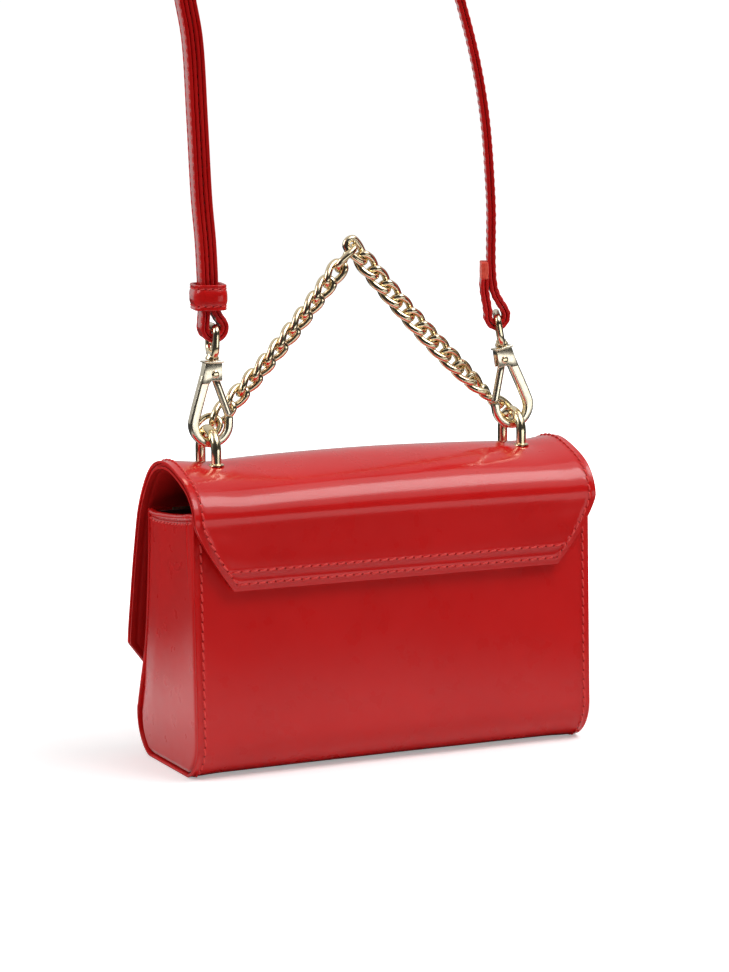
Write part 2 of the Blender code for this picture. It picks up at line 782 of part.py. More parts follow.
def make_hook(side, paint):
    """The cap, the fixed bar and the bend, with a slot for the gate and a seat for the swivel post."""
    frame = clip_frame(side)
    gold = paint["gold"]
    bar = tube(f"hook_{side}", [frame @ Vector((*p, 0)) for p in hook_path()], HOOK_WIRE, gold)
    half = CAP_THICKNESS / 2
    cap = block("cap", (-CAP_HALF_WIDTH, CAP_LOW, -half), (CAP_HALF_WIDTH, CAP_HIGH, half), frame, gold)
    bevel = cap.modifiers.new("round", "BEVEL")
    bevel.width = 0.8 * MM
    bevel.segments = 1
    hook = union(bar, frozen(cap))
    slot = SLOT_WIDTH / 2
    low = (-2 * CAP_HALF_WIDTH, CAP_LOW - 6 * MM, -slot)
    hook = cut(hook, block("slot", low, (SLOT_END, SLOT_TOP, slot), frame, gold))
    rivet = frame @ Matrix.Translation((*RIVET, 0))
    hook = bore(hook, RIVET_RADIUS + GAP, [rivet], 20 * MM)
    wide, narrow = POST_HEAD + GAP, POST_RADIUS + GAP
    through = CAP_HIGH - SEAT_LOW + MM
    seat = ((0, 0), (wide, 0), (wide, SEAT_STEP), (narrow, SEAT_STEP), (narrow, through), (0, through))
    hook = cut(hook, turned("seat", seat, clip_axis(frame, SEAT_LOW), gold))
    shade_round(hook)
    put_origin(hook, frame.translation)


def make_rivet(side, paint):
    frame = clip_frame(side)
    half = CAP_THICKNESS / 2
    head = RIVET_HEAD_HEIGHT
    profile = ((0, 0), (RIVET_HEAD, 0), (RIVET_HEAD, head), (RIVET_RADIUS, head))
    high = 2 * half + head + 2 * GAP
    profile += ((RIVET_RADIUS, high), (RIVET_HEAD, high), (RIVET_HEAD, high + head), (0, high + head))
    place = frame @ Matrix.Translation((*RIVET, -half - GAP - head))
    put_origin(turned(f"gate_rivet_{side}", profile, place, paint["gold"]), frame.translation)


def make_gate(side, paint):
    """The sprung bar that closes the hook, round at its rivet and square where it meets the tip."""
    frame = clip_frame(side)
    rivet = Vector(RIVET)
    end = Vector(GATE_END)
    along = (end - rivet).normalized()
    across = Vector((-along.y, along.x))
    start = math.degrees(math.atan2(across.y, across.x))
    head = arc(rivet, GATE_HEAD, start, start + 180, 8)
    outline = head + [end - across * GATE_HALF_WIDTH, end + across * GATE_HALF_WIDTH]
    gate = plate(f"gate_{side}", outline, GATE_THICKNESS, frame, paint["gold"])
    gate = bore(gate, RIVET_RADIUS + GAP, [frame @ Matrix.Translation((*RIVET, 0))], 10 * MM)
    put_origin(gate, frame @ Vector((*RIVET, 0)))


def make_gate_spring(side, paint):
    """A leaf behind the gate's head, which pushes it shut."""
    frame = clip_frame(side)
    low = (SPRING_FACES[0], SPRING_LOW, -SPRING_HALF_WIDTH)
    high = (SPRING_FACES[1], SLOT_TOP - GAP, SPRING_HALF_WIDTH)
    spring = block(f"gate_spring_{side}", low, high, frame, paint["steel"])
    put_origin(spring, frame.translation)


def eye_path(side):
    """Middle line of the rectangular eye, turned about the clip's middle line to lie along the strap."""
    frame = clip_frame(side)
    turn = Matrix.Rotation(-STRAP_TWIST[side], 4, "Z")
    half, low, high = EYE_HALF_WIDTH, EYE_LOW, EYE_BAR
    top, bottom = EYE_TOP_RADIUS, EYE_LOW_RADIUS
    outline = arc((half - top, high - top), top, 0, 90, 4)
    outline += arc((top - half, high - top), top, 90, 180, 4)
    outline += arc((bottom - half, low + bottom), bottom, 180, 270, 4)
    outline += arc((half - bottom, low + bottom), bottom, 270, 360, 4)
    return [clip_axis(frame, p.y) @ turn @ Vector((0, p.x, 0)) for p in outline]


def make_eye(side, paint):
    """The strap's ring, with the post that swivels in the clip's cap."""
    frame = clip_frame(side)
    ring = tube(f"swivel_eye_{side}", eye_path(side), EYE_WIRE, paint["gold"], closed=True)
    low = CAP_HIGH + GAP - POST_FOOT
    high = EYE_LOW + EYE_WIRE / 2 - POST_FOOT
    profile = ((0, 0), (POST_HEAD, 0), (POST_HEAD, POST_HEAD_HEIGHT), (POST_RADIUS, POST_HEAD_HEIGHT))
    profile += ((POST_RADIUS, low), (POST_SHOULDER, low), (POST_NECK, high), (0, high))
    eye = union(ring, turned("post", profile, clip_axis(frame, POST_FOOT), paint["gold"]))
    put_origin(shade_round(eye), (0, *STAPLE_CENTRE))


def make_clips(paint):
    for side in SIDES:
        make_hook(side, paint)
        make_rivet(side, paint)
        make_gate(side, paint)
        make_gate_spring(side, paint)
        make_eye(side, paint)


# ---------------------------------------------------------------- strap


def strap_width(x):
    """Half the strap's width as a vector, turned more from Y towards the right of the bag."""
    share = min(max((STAPLE_X - x) / (2 * STAPLE_X), 0), 1)
    twist = STRAP_TWIST["left"] + (STRAP_TWIST["right"] - STRAP_TWIST["left"]) * share
    return Vector((math.sin(twist), math.cos(twist), 0)) * STRAP_WIDTH / 2


def loop_points(side):
    """The strap's middle line round the bar of an eye, from its left side through below to its right."""
    centre = clip_frame(side) @ Vector((0, EYE_BAR, 0))
    return arc(centre.xz, LOOP_RADIUS, 165, 375, 10)


def strap_line():
    """The strap's middle line in X and Z, from its studded end on the left to its end on the right."""
    pair = metres(LEFT_RUN + LEFT_TOP)
    step = Vector((RUN_OFFSET, 0))
    inner = [p - step for p in pair]
    outer = [p + step for p in pair]
    tail = Vector((TAIL_STEP, 0))
    foot = Vector(RIGHT_RUN[-1]) * MM
    end = [foot + tail, Vector((foot.x + TAIL_STEP, TAIL_TOP))]
    left = inner[::-1] + loop_points("left") + outer
    knots = left + metres(ARCH + RIGHT_RUN) + loop_points("right") + end
    return smooth_curve(knots, 2)


def strap_rows(line, depth):
    """Rows across the strap, moved by depth along its normal; its middle stays over the clips."""
    rows = []
    for i, point in enumerate(line):
        ahead = (line[min(i + 1, len(line) - 1)] - line[max(i - 1, 0)]).normalized()
        width = strap_width(point.x)
        moved = point + Vector((ahead.y, -ahead.x)) * depth / width.normalized().y
        middle = Vector((moved.x, CLIP_Y, moved.y))
        rows.append([middle - width, middle + width])
    return rows


def make_strap(paint):
    line = strap_line()
    depth = (PLY + PLY_GAP) / 2
    stud = stud_place()
    for name, shift in (("strap_face", depth), ("strap_backing", -depth)):
        ply = sheet(name, strap_rows(line, shift), PLY, paint["leather"], offset=0)
        ply = bore(frozen(ply), STUD_RADIUS + GAP, [stud], 30 * MM)
        put_origin(ply, (0, *STAPLE_CENTRE))


def stud_place():
    """The stud's middle, with local Z square to the two left runs."""
    line = smooth_curve(metres(LEFT_RUN + LEFT_TOP), 8)
    below = [p for p in line if p.y < STUD_HEIGHT][-1]
    above = [p for p in line if p.y >= STUD_HEIGHT][0]
    ahead = Vector((above.x - below.x, 0, above.y - below.y))
    return facing((below.x, CLIP_Y, STUD_HEIGHT), strap_width(below.x).cross(ahead))


def make_strap_stud(paint):
    """A two-headed stud that holds the strap's turned-back end to the strap."""
    half = RUN_OFFSET + STRAP_THICKNESS / 2 + 2 * GAP
    low = STUD_HEAD
    high = STUD_HEAD + 2 * half
    end = high + STUD_HEAD
    profile = ((0, 0), (STUD_HEAD_RADIUS, 0), (STUD_HEAD_RADIUS, low), (STUD_RADIUS, low))
    profile += ((STUD_RADIUS, high), (STUD_HEAD_RADIUS, high), (STUD_HEAD_RADIUS, end), (0, end))
    place = along_axis(stud_place(), -half - STUD_HEAD)
    put_origin(turned("strap_stud", profile, place, paint["gold"]), (0, *STAPLE_CENTRE))


def make_strap_tab(paint):
    """The unfinished end of the strap, beside the right run."""
    x = RIGHT_RUN[-1][0] * MM + TAIL_STEP
    line = [Vector((x, TAIL_TOP + GAP)), Vector((x, TAB_TOP))]
    tab = sheet("strap_end_tab", strap_rows(line, 0), STRAP_THICKNESS, paint["raw"], offset=0)
    put_origin(tab, (0, *STAPLE_CENTRE))


def make_keeper(paint):
    """A leather loop that holds the two left runs together and slides along them."""
    thick, wide = (size / 2 for size in KEEPER_INSIDE)
    radius = KEEPER_CORNER
    outline = []
    for sx, sy, start in ((1, 1, 0), (-1, 1, 90), (-1, -1, 180), (1, -1, 270)):
        centre = (sx * (thick - radius), sy * (wide - radius))
        outline += arc(centre, radius, start, start + 90, 3)
    x = metres(LEFT_RUN)[0].x
    turn = Matrix.Translation((x, CLIP_Y, KEEPER_LOW)) @ Matrix.Rotation(-STRAP_TWIST["left"], 4, "Z")
    rows = [[turn @ Vector((*p, 0)), turn @ Vector((*p, KEEPER_HEIGHT))] for p in outline]
    keeper = sheet("keeper", rows, KEEPER_WALL, paint["leather"], offset=1, closed=True)
    put_origin(frozen(keeper), (x, CLIP_Y, KEEPER_LOW))


# ---------------------------------------------------------------- assembly


def main():
    clear_scene()
    paint = make_materials()
    make_wrap_panel(paint)
    make_gussets(paint)
    make_boards(paint)
    make_lining(paint)
    make_flap(paint)
    make_snap(paint)
    for side in SIDES:
        make_staple(side, paint)
        make_staple_plate(side, paint)
    make_chain(paint)
    make_clips(paint)
    make_strap(paint)
    make_strap_tab(paint)
    make_strap_stud(paint)
    make_keeper(paint)
    bag = new_collection("flap_bag")
    for obj in list(bpy.context.scene.collection.objects):
        bag.objects.link(obj)
        bpy.context.scene.collection.objects.unlink(obj)


main()
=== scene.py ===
"""Looks of the flap bag: leather with its seams, stitches and creases, lining, chain, clips and strap."""

import math
import bmesh
import bpy
import numpy as np
from mathutils import Matrix, Vector


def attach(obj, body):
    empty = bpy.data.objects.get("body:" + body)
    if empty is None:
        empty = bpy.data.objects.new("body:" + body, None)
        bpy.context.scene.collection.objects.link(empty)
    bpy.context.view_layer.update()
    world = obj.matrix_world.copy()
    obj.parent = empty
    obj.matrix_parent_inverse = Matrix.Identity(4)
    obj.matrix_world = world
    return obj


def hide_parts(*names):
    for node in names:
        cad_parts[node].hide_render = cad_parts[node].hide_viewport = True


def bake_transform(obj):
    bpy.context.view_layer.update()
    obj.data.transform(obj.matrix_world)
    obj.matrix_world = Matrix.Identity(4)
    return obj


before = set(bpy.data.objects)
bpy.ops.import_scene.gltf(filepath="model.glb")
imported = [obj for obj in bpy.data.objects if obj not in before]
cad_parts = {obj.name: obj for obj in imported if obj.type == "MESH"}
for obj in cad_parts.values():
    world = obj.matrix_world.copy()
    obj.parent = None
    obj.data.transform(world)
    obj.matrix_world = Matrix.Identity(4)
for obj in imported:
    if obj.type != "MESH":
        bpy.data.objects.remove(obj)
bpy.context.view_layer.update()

MM = 0.001
SIDES = {"left": 1, "right": -1}

# The bag's walls: outer face of front, base and back, in mm
HALF_WIDTH = 100
FRONT_HEIGHT, BACK_HEIGHT = 117, 121.5
CORNER = 19
FRONT_CORNER_Y, BACK_CORNER_Y = -20, 18
FRONT_WAIST, FRONT_FLARE, FLARE_POWER = 24.5, 14.5, 1.7
BACK_LEAN = 2.5
FRONT_TUCK = 1.7
SKIN = 1.4
GUSSET_FACE, LINING_FACE = 99, 96.2
GUSSET_TOP = ((31.5, 122.6), (17, 120.4), (4.7, 119), (-8, 118), (-18, 117.6), (-23.4, 118.4))

# The flap's outer face from its lower edge on the back to its front edge, in mm
FLAP_TAIL = ((38.9, 86.6), (40.1, 97), (40.8, 105))
FLAP_OUTLINE = (
    (41, 111.6), (40.3, 122), (33.6, 131.4), (18, 138.6), (2, 141.5), (-14, 137.2),
    (-29.5, 119.5), (-37.4, 97), (-43.8, 71), (-48, 50), (-48, 24),
)
BACK_CHAMFER = ((118, 101), (86.6, 82))
FRONT_CHAMFER = ((50, 101), (24, 81))
FLAP_SEAM = 3.5
STAPLE_FOLDS = ((58, 0.55, 0.16), (52, 0.7, 0.12), (64, 0.45, 0.13), (45, 0.9, 0.09), (39, 1.0, 0.07))
CROSS_FOLDS = ((8, 0.22), (13, 0.14))

SNAP_HEIGHT, SNAP_STUD_Y = 37, -44.1

# Staples and the chain between them, in mm
STAPLE_X, STAPLE_ARCH, STAPLE_Z = 78, 9.55, 145.6
STAPLE_WIRE = 2.35
CHAIN_LEAN = math.radians(30)
CHAIN_TOP = Vector((0, -10, 235))
CHAIN_SAG = 4
LEFT_LINKS, RIGHT_LINKS = 12, 13
LINK_HALF_LENGTH, LINK_HALF_WIDTH, END_HALF_WIDTH, LINK_WIRE = 6.35, 4.0, 4.7, 1.4
FULL_WIRE, FULL_HALF_WIDTH = 1.68, 3.5
LEFT_ROLL = math.radians(30)
LINK_TWIST = math.radians(47)
TURNING_LINKS = 5
LATE_TURN = 2.5  # the right half stays open until close to its staple

# Clips, in mm: u points away from the bag's middle, w up from the bottom of the hook
CLIP_Y, CLIP_FOOT = 3.1, 149.1
CLIP_LEAN = {"left": math.radians(1.8), "right": math.radians(10.5)}
RIVET = Vector((-0.8, 31.7))
EYE_HALF_WIDTH, EYE_LOW, EYE_BAR, EYE_WIRE = 9.8, 40.6, 53.2, 1.65

# Strap, in mm
STRAP_WIDTH, PLY, PLY_GAP = 15, 1.65, 0.3
LOOP_RADIUS, RUN_OFFSET = 4.8, 2.15
STRAP_TWIST = {"left": math.radians(12.5), "right": math.radians(25)}
LEFT_RUN = ((78.2, 211), (78.6, 226), (79.3, 241.5), (80.8, 259.5), (82.4, 295.5), (84.3, 331.5))
LEFT_TOP = ((87.3, 348.5), (90.6, 366), (91.6, 378))
ARCH = ((92.4, 388), (89, 405), (79, 422), (62, 434), (38, 439), (11, 434), (-12, 418), (-30, 395))
RIGHT_RUN = ((-42, 370), (-49.3, 348.5), (-57, 321.5), (-62.2, 293.5), (-65.3, 255), (-66.6, 214))
TAIL_STEP, TAIL_TOP, TAB_TOP = 4.9, 219, 227
STUD_HEIGHT = 366
KEEPER_LOW, KEEPER_HEIGHT = 210.2, 11.6

STITCH_PITCH = 4.0

# Camera: place in mm, direction, roll and lens
CAMERA_PLACE, CAMERA_FORWARD = (600.95, 1294.92, 329.51), (-0.41687, -0.89771, -0.14259)
CAMERA_ROLL, CAMERA_LENS = math.radians(-0.395), 114.3

# Studio: the bright side of the room, greys by their place along it, and greys by distance in metres
BRIGHT_WAY = (0, -0.6, 0.8)
ROOM_LIGHT = ((0.2, 0.02), (0.55, 0.05), (0.75, 0.42), (1.0, 0.7))
BAG_MIDDLE = Vector((0, 0, 0.1))
FLOOR_GLOW = ((0.16, 0.34), (0.55, 1.0))
TABLE_SHADE = ((0.2, 0.9), (0.4, 0.05))


# ---- materials


def new_material(name, color, roughness, metallic=0.0):
    material = bpy.data.materials.new(name)
    material.use_nodes = True
    shader = material.node_tree.nodes["Principled BSDF"]
    shader.inputs["Base Color"].default_value = (*color, 1)
    shader.inputs["Roughness"].default_value = roughness
    shader.inputs["Metallic"].default_value = metallic
    return material, material.node_tree, shader


def own_place(tree):
    """The piece's own coordinates, in metres."""
    return tree.nodes.new("ShaderNodeTexCoord").outputs["Object"]


def noise(tree, scale, detail=2.0, stretch=None):
    """A noise texture on the piece's own coordinates; scale is in features to the metre."""
    place = own_place(tree)
    if stretch:
        mapping = tree.nodes.new("ShaderNodeMapping")
        mapping.inputs["Scale"].default_value = stretch
        tree.links.new(place, mapping.inputs["Vector"])
        place = mapping.outputs["Vector"]
    texture = tree.nodes.new("ShaderNodeTexNoise")
    texture.inputs["Scale"].default_value = scale
    texture.inputs["Detail"].default_value = detail
    tree.links.new(place, texture.inputs["Vector"])
    return texture.outputs["Fac"]


def ramp(tree, value, stops):
    """A colour ramp over the value; stops are (position, colour or grey)."""
    node = tree.nodes.new("ShaderNodeValToRGB")
    for i, (position, color) in enumerate(stops):
        element = node.color_ramp.elements[i] if i < 2 else node.color_ramp.elements.new(position)
        element.position = position
        element.color = (*color, 1) if isinstance(color, tuple) else (color, color, color, 1)
    tree.links.new(value, node.inputs["Fac"])
    return node.outputs["Color"]


def bump(tree, shader, layers, into=("Normal",)):
    """Chains bump nodes; each layer is (height, distance in metres, strength)."""
    previous = None
    for height, distance, strength in layers:
        node = tree.nodes.new("ShaderNodeBump")
        node.inputs["Distance"].default_value = distance
        node.inputs["Strength"].default_value = strength
        tree.links.new(height, node.inputs["Height"])
        if previous:
            tree.links.new(previous, node.inputs["Normal"])
        previous = node.outputs["Normal"]
    for socket in into:
        tree.links.new(previous, shader.inputs[socket])


def mix(tree, factor, a, b):
    node = tree.nodes.new("ShaderNodeMix")
    node.data_type = "RGBA"
    for socket, value in ((6, a), (7, b)):
        if isinstance(value, tuple):
            node.inputs[socket].default_value = (*value, 1)
        else:
            tree.links.new(value, node.inputs[socket])
    tree.links.new(factor, node.inputs[0])
    return node.outputs[2]


def edge_highlight(tree, color, highlight_color):
    """The colour, mixed to a lighter one where the shape turns sharply outwards: a painted highlight on the
    edges.
    """
    edge = tree.nodes.new("ShaderNodeNewGeometry").outputs["Pointiness"]
    return mix(tree, ramp(tree, edge, ((0.53, 0.0), (0.62, 1.0))), color, highlight_color)


def leather_material(name, dark, light, highlight_color, roughness, coat):
    material, tree, shader = new_material(name, light, roughness)
    tone = mix(tree, ramp(tree, noise(tree, 22, 3), ((0.35, 0.0), (0.65, 1.0))), dark, light)
    # Lighter where the shape turns sharply outwards: a painted edge highlight.
    tree.links.new(edge_highlight(tree, tone, highlight_color), shader.inputs["Base Color"])
    rough = ramp(tree, noise(tree, 90, 4), ((0.3, roughness * 0.8), (0.75, roughness * 1.35)))
    tree.links.new(rough, shader.inputs["Roughness"])
    shader.inputs["Coat Weight"].default_value = coat
    shader.inputs["Coat Roughness"].default_value = 0.14
    shader.inputs["Coat IOR"].default_value = 1.37
    shader.inputs["Specular IOR Level"].default_value = 0.08
    soft = (noise(tree, 32, 1), 0.001, 0.04)
    bump(tree, shader, (soft, (noise(tree, 1600, 2), 0.00003, 0.2)))
    bump(tree, shader, (soft, (noise(tree, 1100, 2), 0.00002, 0.03)), ("Coat Normal",))
    return material


def metal_material(name, dark, light, roughness):
    material, tree, shader = new_material(name, light, roughness, 1.0)
    tone = mix(tree, ramp(tree, noise(tree, 260, 3), ((0.3, 0.0), (0.7, 1.0))), dark, light)
    tree.links.new(tone, shader.inputs["Base Color"])
    rough = ramp(tree, noise(tree, 700, 4), ((0.35, roughness * 0.85), (0.75, roughness * 1.25)))
    tree.links.new(rough, shader.inputs["Roughness"])
    scratches = noise(tree, 900, 2, (1, 1, 0.08))
    bump(tree, shader, ((scratches, 0.00001, 0.04), (noise(tree, 200, 1), 0.0001, 0.03)))
    return material


def fibre_material(name, dark, light, roughness, scale, depth, sheen=0.0):
    """Matt fibres: board, raw edges, thread, and the painted shade of stitch holes."""
    material, tree, shader = new_material(name, light, roughness)
    grain = noise(tree, scale, 4, (1, 1, 0.35))
    tone = mix(tree, ramp(tree, grain, ((0.35, 0.0), (0.7, 1.0))), dark, light)
    tree.links.new(tone, shader.inputs["Base Color"])
    shader.inputs["Sheen Weight"].default_value = sheen
    shader.inputs["Specular IOR Level"].default_value = 0.15
    bump(tree, shader, ((grain, depth, 0.5),))
    return material


def cloth_material(name, dark, light):
    """A plain weave: two sets of threads that cross every half millimetre."""
    material, tree, shader = new_material(name, light, 0.75)
    place = own_place(tree)
    waves = []
    for direction in ("X", "Z"):
        wave = tree.nodes.new("ShaderNodeTexWave")
        wave.bands_direction = direction
        wave.inputs["Scale"].default_value = 630
        wave.inputs["Distortion"].default_value = 0.4
        tree.links.new(place, wave.inputs["Vector"])
        waves.append(wave.outputs["Fac"])
    weave = tree.nodes.new("ShaderNodeMath")
    weave.operation = "MULTIPLY"
    tree.links.new(waves[0], weave.inputs[0])
    tree.links.new(waves[1], weave.inputs[1])
    tree.links.new(mix(tree, weave.outputs[0], dark, light), shader.inputs["Base Color"])
    shader.inputs["Sheen Weight"].default_value = 0.3
    bump(tree, shader, ((weave.outputs[0], 0.0002, 0.5), (noise(tree, 120, 2), 0.001, 0.3)))
    return material


def make_materials():
    """Each kind of surface: its name, its darker and lighter colour, then what its own function asks for."""
    # Each leather's third colour is its painted edge highlight on sharply convex edges.
    leathers = {
        "leather": (
            "patent_leather", (0.60, 0.0075, 0.0072), (0.64, 0.0085, 0.0080), (0.74, 0.02, 0.018), 0.30, 1.0,
        ),
        "inner": ("inner_leather", (0.42, 0.008, 0.008), (0.50, 0.012, 0.010), (0.6, 0.03, 0.02), 0.4, 0.5),
        "edge": ("painted_edge", (0.50, 0.006, 0.006), (0.60, 0.010, 0.009), (0.7, 0.02, 0.02), 0.42, 0.4),
    }
    fibres = {
        "thread": ("red_thread", (0.74, 0.03, 0.027), (0.90, 0.11, 0.10), 0.45, 2600, 0.0001),
        # Stitch holes: a dark red painted on flat discs as the shade inside each hole.
        "hole_shade": ("stitch_hole_shade", (0.28, 0.004, 0.004), (0.38, 0.007, 0.007), 0.8, 2000, 0.0001),
        "raw": ("raw_edge", (0.80, 0.055, 0.030), (0.95, 0.14, 0.085), 0.6, 1500, 0.0003, 0.3),
        "board": ("fibre_board", (0.25, 0.18, 0.12), (0.40, 0.30, 0.20), 0.9, 800, 0.0003),
    }
    metals = {
        "gold": ("pale_gold", (0.84, 0.69, 0.43), (0.92, 0.80, 0.56), 0.15),
        "champagne": ("champagne_gold", (0.88, 0.79, 0.60), (0.93, 0.85, 0.67), 0.19),
        "steel": ("nickel_steel", (0.50, 0.49, 0.46), (0.62, 0.61, 0.58), 0.25),
    }
    paint = {key: leather_material(*values) for key, values in leathers.items()}
    paint.update({key: fibre_material(*values) for key, values in fibres.items()})
    paint.update({key: metal_material(*values) for key, values in metals.items()})
    paint["lining"] = cloth_material("lining_cloth", (0.035, 0.003, 0.003), (0.11, 0.010, 0.010))
    return paint


# ---- mesh helpers


def in_scene(name, data):
    """A new object for the data, linked to the scene."""
    obj = bpy.data.objects.new(name, data)
    bpy.context.scene.collection.objects.link(obj)
    return obj


def outwards(mesh):
    """Turns every face to point out of its closed shape."""
    bm = bmesh.new()
    bm.from_mesh(mesh)
    bmesh.ops.recalc_face_normals(bm, faces=bm.faces)
    bm.to_mesh(mesh)
    bm.free()


def add_piece(name, verts, faces, material, smooth_degrees=40):
    """An object from points in millimetres."""
    mesh = bpy.data.meshes.new(name)
    mesh.from_pydata([tuple(c * MM for c in v) for v in verts], [], [tuple(f) for f in faces])
    outwards(mesh)
    mesh.materials.append(material)
    mesh.shade_smooth()
    mesh.set_sharp_from_angle(angle=math.radians(smooth_degrees))
    obj = in_scene(name, mesh)
    return obj


def round_edges(obj, width, segments, degrees):
    """Bevels the edges that turn by more than the angle."""
    rounding = obj.modifiers.new("edges", "BEVEL")
    rounding.width = width * MM
    rounding.segments = segments
    rounding.limit_method = "ANGLE"
    rounding.angle_limit = math.radians(degrees)


def bake(obj):
    """Applies the object's modifiers."""
    graph = bpy.context.evaluated_depsgraph_get()
    mesh = bpy.data.meshes.new_from_object(obj.evaluated_get(graph))
    obj.modifiers.clear()
    obj.data = mesh
    return obj


def sheet(name, grid, thickness, material, edge=None, round_edge=0.4, closed=False, offset=-1):
    """A layer of leather or cloth over a grid of points, with rounded and painted edges."""
    count = len(grid[0])
    verts = [p for row in grid for p in row]
    faces = []
    rows = len(grid)
    for r in range(rows if closed else rows - 1):
        following = (r + 1) % rows
        for c in range(count - 1):
            here, there = r * count + c, following * count + c
            faces.append((here, there, there + 1, here + 1))
    mesh = bpy.data.meshes.new(name)
    mesh.from_pydata([tuple(c * MM for c in v) for v in verts], [], faces)
    mesh.materials.append(material)
    obj = in_scene(name, mesh)
    solid = obj.modifiers.new("thickness", "SOLIDIFY")
    solid.thickness = thickness * MM
    solid.offset = offset
    solid.use_even_offset = True
    if edge:
        mesh.materials.append(edge)
        solid.material_offset_rim = 1
    round_edges(obj, round_edge, 3, 55)
    bake(obj)
    obj.data.shade_smooth()
    return obj


def centripetal(points, steps):
    """A smooth curve through the points, in steps spans between neighbours."""
    points = [Vector(p) for p in points]
    padded = [2 * points[0] - points[1]] + points + [2 * points[-1] - points[-2]]
    curve = []
    for a, b, c, d in zip(padded, padded[1:], padded[2:], padded[3:]):
        at_b = math.sqrt((b - a).length)
        at_c = at_b + math.sqrt((c - b).length)
        at_d = at_c + math.sqrt((d - c).length)
        for i in range(steps):
            t = at_b + (at_c - at_b) * i / steps
            middle = b.lerp(c, (t - at_b) / (at_c - at_b))
            low = a.lerp(b, t / at_b).lerp(middle, t / at_c)
            high = middle.lerp(c.lerp(d, (t - at_c) / (at_d - at_c)), (t - at_b) / (at_d - at_b))
            curve.append(low.lerp(high, (t - at_b) / (at_c - at_b)))
    return curve + [points[-1]]


def arc(centre, radius, start, end, steps):
    angles = [math.radians(start + (end - start) * i / steps) for i in range(steps + 1)]
    return [Vector(centre) + float(radius) * Vector((math.cos(a), math.sin(a))) for a in angles]


def sweep(points, section, closed=False, binormal=None):
    """Verts and faces of (a, b) offsets swept along the points; section may be a function of 0 to 1."""
    points = [Vector(p) for p in points]
    n = len(points)
    tangents = []
    for i in range(n):
        after = points[(i + 1) % n] if closed else points[min(i + 1, n - 1)]
        before = points[i - 1] if closed else points[max(i - 1, 0)]
        tangents.append((after - before).normalized())
    if binormal is not None:
        sides = [Vector(binormal).cross(t).normalized() for t in tangents]
    else:
        side = tangents[0].orthogonal().normalized()
        sides = []
        for t in tangents:
            side = (side - t * side.dot(t)).normalized()
            sides.append(side)
        if closed:
            back = (side - tangents[0] * side.dot(tangents[0])).normalized()
            gap = back.angle(sides[0]) * (1 if back.cross(sides[0]).dot(tangents[0]) > 0 else -1)
            turns = [Matrix.Rotation(gap * i / n, 3, t) for i, t in enumerate(tangents)]
            sides = [turn @ side for turn, side in zip(turns, sides)]
    shape = section if callable(section) else lambda t: section
    verts, faces = [], []
    for i, (p, t, s) in enumerate(zip(points, tangents, sides)):
        up = t.cross(s)
        verts += [p + s * a + up * b for a, b in shape(i / (n - 1))]
    m = len(verts) // n
    for i in range(n if closed else n - 1):
        j = (i + 1) % n
        faces += [(i * m + k, i * m + (k + 1) % m, j * m + (k + 1) % m, j * m + k) for k in range(m)]
    if not closed:
        faces += [tuple(range(m))[::-1], tuple((n - 1) * m + k for k in range(m))]
    return verts, faces


def circle(radius, sides=16):
    angles = [2 * math.pi * k / sides for k in range(sides)]
    return [(radius * math.cos(a), radius * math.sin(a)) for a in angles]


def lathe(profile, place, steps=40):
    """Verts and faces of a (radius, height) profile turned about the local Z of place."""
    verts, faces = [], []
    for radius, height in profile:
        for k in range(steps):
            angle = 2 * math.pi * k / steps
            verts.append(place @ Vector((radius * math.cos(angle), radius * math.sin(angle), height)))
    for i in range(len(profile) - 1):
        for k in range(steps):
            j = (k + 1) % steps
            faces.append((i * steps + k, i * steps + j, (i + 1) * steps + j, (i + 1) * steps + k))
    last = (len(profile) - 1) * steps
    faces += [tuple(range(steps))[::-1], tuple(range(last, last + steps))]
    return verts, faces


def joined(*parts):
    verts, faces = [], []
    for more, their_faces in parts:
        start = len(verts)
        verts += list(more)
        faces += [tuple(i + start for i in f) for f in their_faces]
    return verts, faces


def facing(point, direction):
    turn = Vector((0, 0, 1)).rotation_difference(Vector(direction)).to_matrix().to_4x4()
    return Matrix.Translation(point) @ turn


def finish_piece(obj, body, slot, *nodes):
    if body:
        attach(obj, body)
    if nodes:
        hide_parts(*nodes)
    return obj


# ---- stitches


def stitch_parts(samples, pitch=STITCH_PITCH, slant=0.14, size=0.42):
    """Threads, and discs of painted hole shade, of one row. samples are (point, normal) along it, close
    together.
    """
    points = np.array([tuple(p) for p, _ in samples])
    normals = np.array([tuple(n) for _, n in samples])
    along = np.concatenate([[0], np.cumsum(np.linalg.norm(np.diff(points, axis=0), axis=1))])
    count = max(int(along[-1] / pitch), 1)
    step = along[-1] / count

    def at(distance):
        p = Vector([np.interp(distance, along, points[:, k]) for k in range(3)])
        n = Vector([np.interp(distance, along, normals[:, k]) for k in range(3)]).normalized()
        return p, n

    threads, holes = [], []
    for i in range(count):
        middle = (i + 0.5) * step
        _, normal = at(middle)
        ahead = (at(middle + 0.3 * step)[0] - at(middle - 0.3 * step)[0]).normalized()
        across = normal.cross(ahead)
        path = []
        for t in (-0.5, -0.36, -0.18, 0, 0.18, 0.36, 0.5):
            p, n = at(middle + t * step * 0.78)
            height = size * (1.15 * math.cos(math.pi * t) ** 0.6 - 0.75) if abs(t) < 0.5 else -size * 1.1
            path.append(p + n * height + across * slant * t * step)
        threads.append(sweep(path, circle(size, 6)))
        # A flat dark disc where the thread goes in: painted shade of the hole.
        place, n = at(i * step)
        holes.append(lathe(((0.42, 0.0), (0.34, 0.035)), facing(place, n), 8))
    return joined(*threads), joined(*holes)


